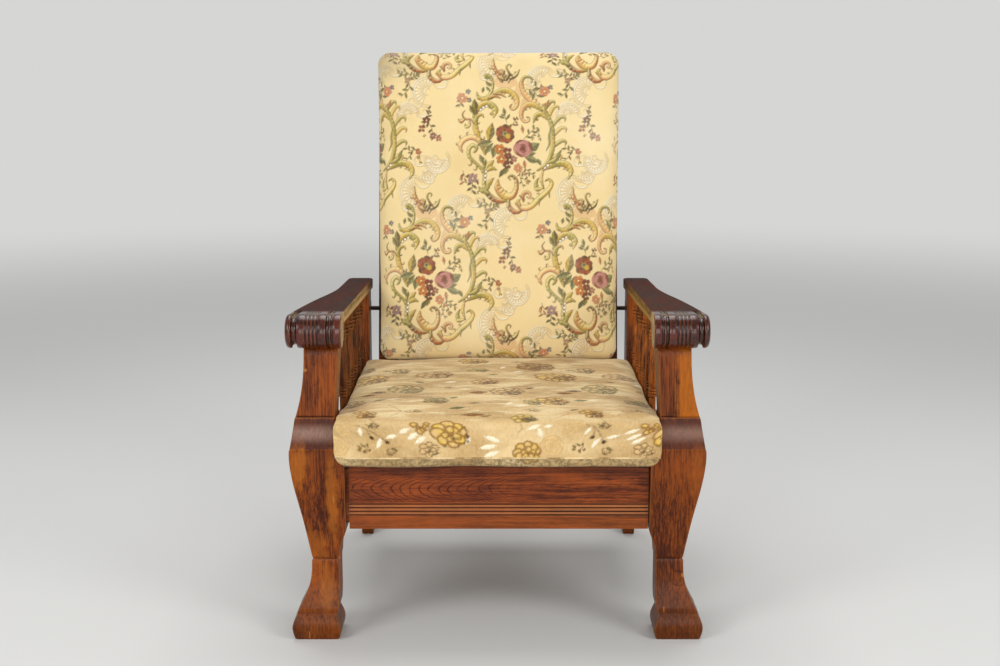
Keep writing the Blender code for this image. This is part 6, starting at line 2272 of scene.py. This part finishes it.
def seat_into_frame(points, low, high):
    """Keeps the cushion between the legs and rails, flat where it rests, and lets its front lip droop."""
    x, y, z = points.T
    ahead = 1 - between_smooth(y, -0.405, -0.372)
    upper = between_smooth(z, 0.385, 0.425)
    stations = np.linspace(low.y + 0.012, high.y - 0.012, 40)
    widest = np.array([np.abs(x[(np.abs(y - at) < 0.012) & (z > 0.40)]).max() for at in stations])
    wanted = np.interp(stations, (-0.420, -0.360, -0.290, 0.0, 0.18), (0.305, 0.302, 0.2966, 0.2966, 0.2945))
    x *= 1 + (np.interp(y, stations, eased(wanted / widest, 6)) - 1) * upper
    x *= 1 + 0.080 * (1 - between_smooth(y, -0.414, -0.250)) * between_smooth(z, 0.336, 0.352)
    beside_legs = 0.2860 + 0.0150 * np.clip((z - 0.3735) / 0.0545, 0, 1)
    beside_rails = 0.2902 + 0.0066 * between_smooth(z, 0.400, 0.412)
    past = np.clip(0.374 - z, 0, None) / 0.0315 + np.clip(z - 0.414, 0, None) / 0.031
    corner = 0.2700 + 0.0350 * np.sqrt(np.clip(1 - past**2, 0, 1))
    limit = np.where(y > LEG_BACK, beside_rails, np.where(y > KNEE_FACE, beside_legs, corner))
    limit = np.where(y > KNEE_FACE, limit, np.minimum(limit, beside_legs + (KNEE_FACE - y) * 6.0))
    np.clip(x, -limit, limit, out=x)
    floor = low.z + 0.0002 - ahead * 0.004 * np.cos(np.clip(x / 0.30, -1, 1) * math.pi / 2)
    np.maximum(z, floor, out=z)
    points[:, 0], points[:, 2] = x, z


class ARMCHAIR_OT_back_cushion(bpy.types.Operator):
    """Stuff the loose back cushion and cover it with floral tapestry"""

    bl_idname = "armchair.back_cushion"
    bl_label = "Back cushion"

    def execute(self, context):
        low, high = box_of("back_cushion", LEAN)
        size = high - low
        start = (size.x - 0.002, size.y - 0.004, size.z - 0.002)
        box, faces, raw = cushion_lattice(start, (0.030, 0.019, 0.030), 0.0065)
        cloth = unrolled(raw, faces, start, 1, -1) - TAPESTRY_MIDDLE
        points = box.copy()
        held = raw[:, 1] > start[1] / 2 - 1e-6
        points = stuffed("back_stuffing", box, faces, held, threads().pressure, threads().swell * 0.7)
        points = box * 0.60 + points * 0.40
        ahead = 1 - between_smooth(raw[:, 1], -start[1] / 2, start[1] / 2)
        crown = np.cos(raw[:, 0] / start[0] * math.pi) ** 0.7 * np.cos(raw[:, 2] / start[2] * math.pi) ** 0.7
        points = fitted(
            points, (low.x, low.y + 0.004, low.z - threads().lap), (high.x, high.y, high.z + threads().rise),
        )
        widening = 1.004 + threads().widening * between_smooth(points[:, 2], low.z, high.z)
        points[:, 0] = points[:, 0] * widening + 0.0011
        lip = (
            (1 - between_smooth(points[:, 2], low.z, low.z + 0.05))
            * (1 - between_smooth(points[:, 1], low.y, low.y + 0.06))
        )
        points[:, 2] -= lip * 0.006
        points[:, 1] -= crown * ahead * threads().crown
        points += waves(points, 5, 0.20)[:, None] * np.array([0.0010, 0.0014, 0.0010])
        np.minimum(points[:, 1], high.y, out=points[:, 1])
        points = moved_points(points, LEAN)
        piece = fine_cover(
            "back_cushion_tapestry", points, faces, cloth, lambda normal: normal.y < 0.3, tapestry_cloth()
        )
        print_on(piece, tapestry_figure())
        mark_dirt_and_shade(piece, self.dirt(mesh_points(piece.data), low, high))
        stands_for(piece, "floral_tapestry", "back_cushion")
        return {"FINISHED"}

    def dirt(self, points, low, high):
        """Grime rubbed into the left edge, the lower corners and along the top."""
        ragged = waves(points, 11, 0.09, 9) * 0.012
        left = 1 - between_smooth(points[:, 0] + ragged, low.x + 0.004, low.x + 0.050)
        right = between_smooth(points[:, 0] + ragged, high.x - 0.030, high.x + 0.004)
        foot = 1 - between_smooth(points[:, 2] + ragged, low.z + 0.010, low.z + 0.070)
        crown = between_smooth(points[:, 2] + ragged, high.z - 0.075, high.z)
        corner = (1 - between_smooth(points[:, 0], low.x, low.x + 0.16)) * crown
        return 0.10 * left + 0.03 * right + 0.07 * foot * (0.5 + left) + 0.04 * crown + 0.42 * corner


# Stage


CAMERA_PLACE = (0.0045, -3.1702, 1.093)
# Lamps: name, place, the point they face, width and height, share of the set power
LAMPS = (
    ("lamp_left", (-2.5, -2.7, 2.3), (-0.1, -0.1, 0.55), (1.5, 1.5), 0.80),
    ("lamp_right", (2.6, -2.6, 2.2), (0.1, -0.1, 0.55), (1.5, 1.5), 0.80),
    ("lamp_above", (0.0, 1.0, 3.6), (0.0, 0.0, 0.5), (2.4, 2.4), 1.0),
    ("lamp_front_left", (-0.90, -4.4, 1.15), (-0.3, 0.0, 0.6), (0.9, 2.0), 0.42),
    ("lamp_front_right", (0.90, -4.4, 1.15), (0.3, 0.0, 0.6), (0.9, 2.0), 0.42),
)


class ARMCHAIR_OT_stage(bpy.types.Operator):
    """Lay the pale floor and backdrop, hang the soft lamps and set up the camera"""

    bl_idname = "armchair.stage"
    bl_label = "Stage"

    def execute(self, context):
        stage = context.scene.armchair_stage
        self.floor(stage)
        for name, place, aim, size, share in LAMPS:
            light = bpy.data.lights.new(name, "AREA")
            light.energy = stage.lamp * share
            light.shape = "RECTANGLE"
            light.size, light.size_y = size
            lamp = linked(name, light)
            lamp.location = place
            lamp.visible_camera = False
            lamp.rotation_euler = (Vector(aim) - Vector(place)).to_track_quat("-Z", "Y").to_euler()
        world = bpy.data.worlds.new("soft_room")
        world.use_nodes = True
        room = Tree(world.node_tree)
        seen = room.node("ShaderNodeLightPath", output="Is Camera Ray")
        lit = room.node("ShaderNodeBackground", None, {"Color": (1, 1, 1), "Strength": stage.room})
        backdrop = room.node("ShaderNodeBackground", None, {"Color": stage.backdrop, "Strength": 1.0})
        both = room.node("ShaderNodeMixShader", None, {0: seen, 1: lit, 2: backdrop})
        world.node_tree.links.new(both.socket, world.node_tree.nodes["World Output"].inputs["Surface"])
        context.scene.world = world
        lens = bpy.data.cameras.new("camera")
        lens.lens, lens.sensor_width = stage.lens, 36
        camera = linked("camera", lens)
        camera.location = CAMERA_PLACE
        camera.rotation_euler = (math.pi / 2 - stage.tilt, 0, 0)
        context.scene.camera = camera
        context.scene.view_settings.view_transform = "Standard"
        return {"FINISHED"}

    def floor(self, stage):
        """A round pale floor that fades into the backdrop at its rim."""
        mesh = bpy.data.meshes.new("floor")
        shape = bmesh.new()
        bmesh.ops.create_circle(shape, cap_ends=True, segments=64, radius=9.0)
        shape.to_mesh(mesh)
        shape.free()
        finish = Finish("pale_floor", Roughness=0.9, Specular_IOR_Level=0.1)
        place = finish.place()
        shade = finish.mix(finish.noise(place, 300.0, 2.0), stage.ground, dimmed(stage.ground, 0.94))
        finish.wear(Base_Color=shade)
        far = finish.step(finish.length(place), 2.2, 7.5)
        rim = finish.node("ShaderNodeEmission", None, {"Color": stage.backdrop})
        both = finish.node(
            "ShaderNodeMixShader", None, {0: far, 1: Wire(finish, finish.shader.outputs[0]), 2: rim},
        )
        finish.nodes.links.new(both.socket, finish.nodes.nodes["Material Output"].inputs["Surface"])
        mesh.materials.append(finish.material)
        linked("floor", mesh)


# The add-on


class ARMCHAIR_PT_pieces(bpy.types.Panel):
    """The pieces of the armchair"""

    bl_label = "Armchair"
    bl_idname = "ARMCHAIR_PT_pieces"
    bl_space_type = "VIEW_3D"
    bl_region_type = "UI"
    bl_category = "Armchair"

    def draw(self, context):
        for operator in OPERATORS:
            self.layout.operator(operator.bl_idname)
        for group in (
            context.scene.armchair_wood, context.scene.armchair_cushions, context.scene.armchair_stage,
        ):
            box = self.layout.box()
            for name in type(group).__annotations__:
                box.prop(group, name)


OPERATORS = (
    ARMCHAIR_OT_front_legs,
    ARMCHAIR_OT_arms,
    ARMCHAIR_OT_front_rail,
    ARMCHAIR_OT_boards,
    ARMCHAIR_OT_back_frame,
    ARMCHAIR_OT_spindles,
    ARMCHAIR_OT_ironwork,
    ARMCHAIR_OT_seat_cushion,
    ARMCHAIR_OT_back_cushion,
    ARMCHAIR_OT_stage,
)
SETTINGS = (
    ("armchair_wood", ArmchairWood),
    ("armchair_cushions", ArmchairCushions),
    ("armchair_stage", ArmchairStage),
)
CLASSES = (*(group for _, group in SETTINGS), *OPERATORS, ARMCHAIR_PT_pieces)


def register():
    for made in CLASSES:
        bpy.utils.register_class(made)
    for name, group in SETTINGS:
        setattr(bpy.types.Scene, name, PointerProperty(type=group))


def unregister():
    for name, _ in SETTINGS:
        delattr(bpy.types.Scene, name)
    for made in reversed(CLASSES):
        bpy.utils.unregister_class(made)


def main():
    register()
    for operator in OPERATORS:
        group, name = operator.bl_idname.split(".")
        getattr(getattr(bpy.ops, group), name)()
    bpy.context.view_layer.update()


if __name__ == "__main__":
    main()
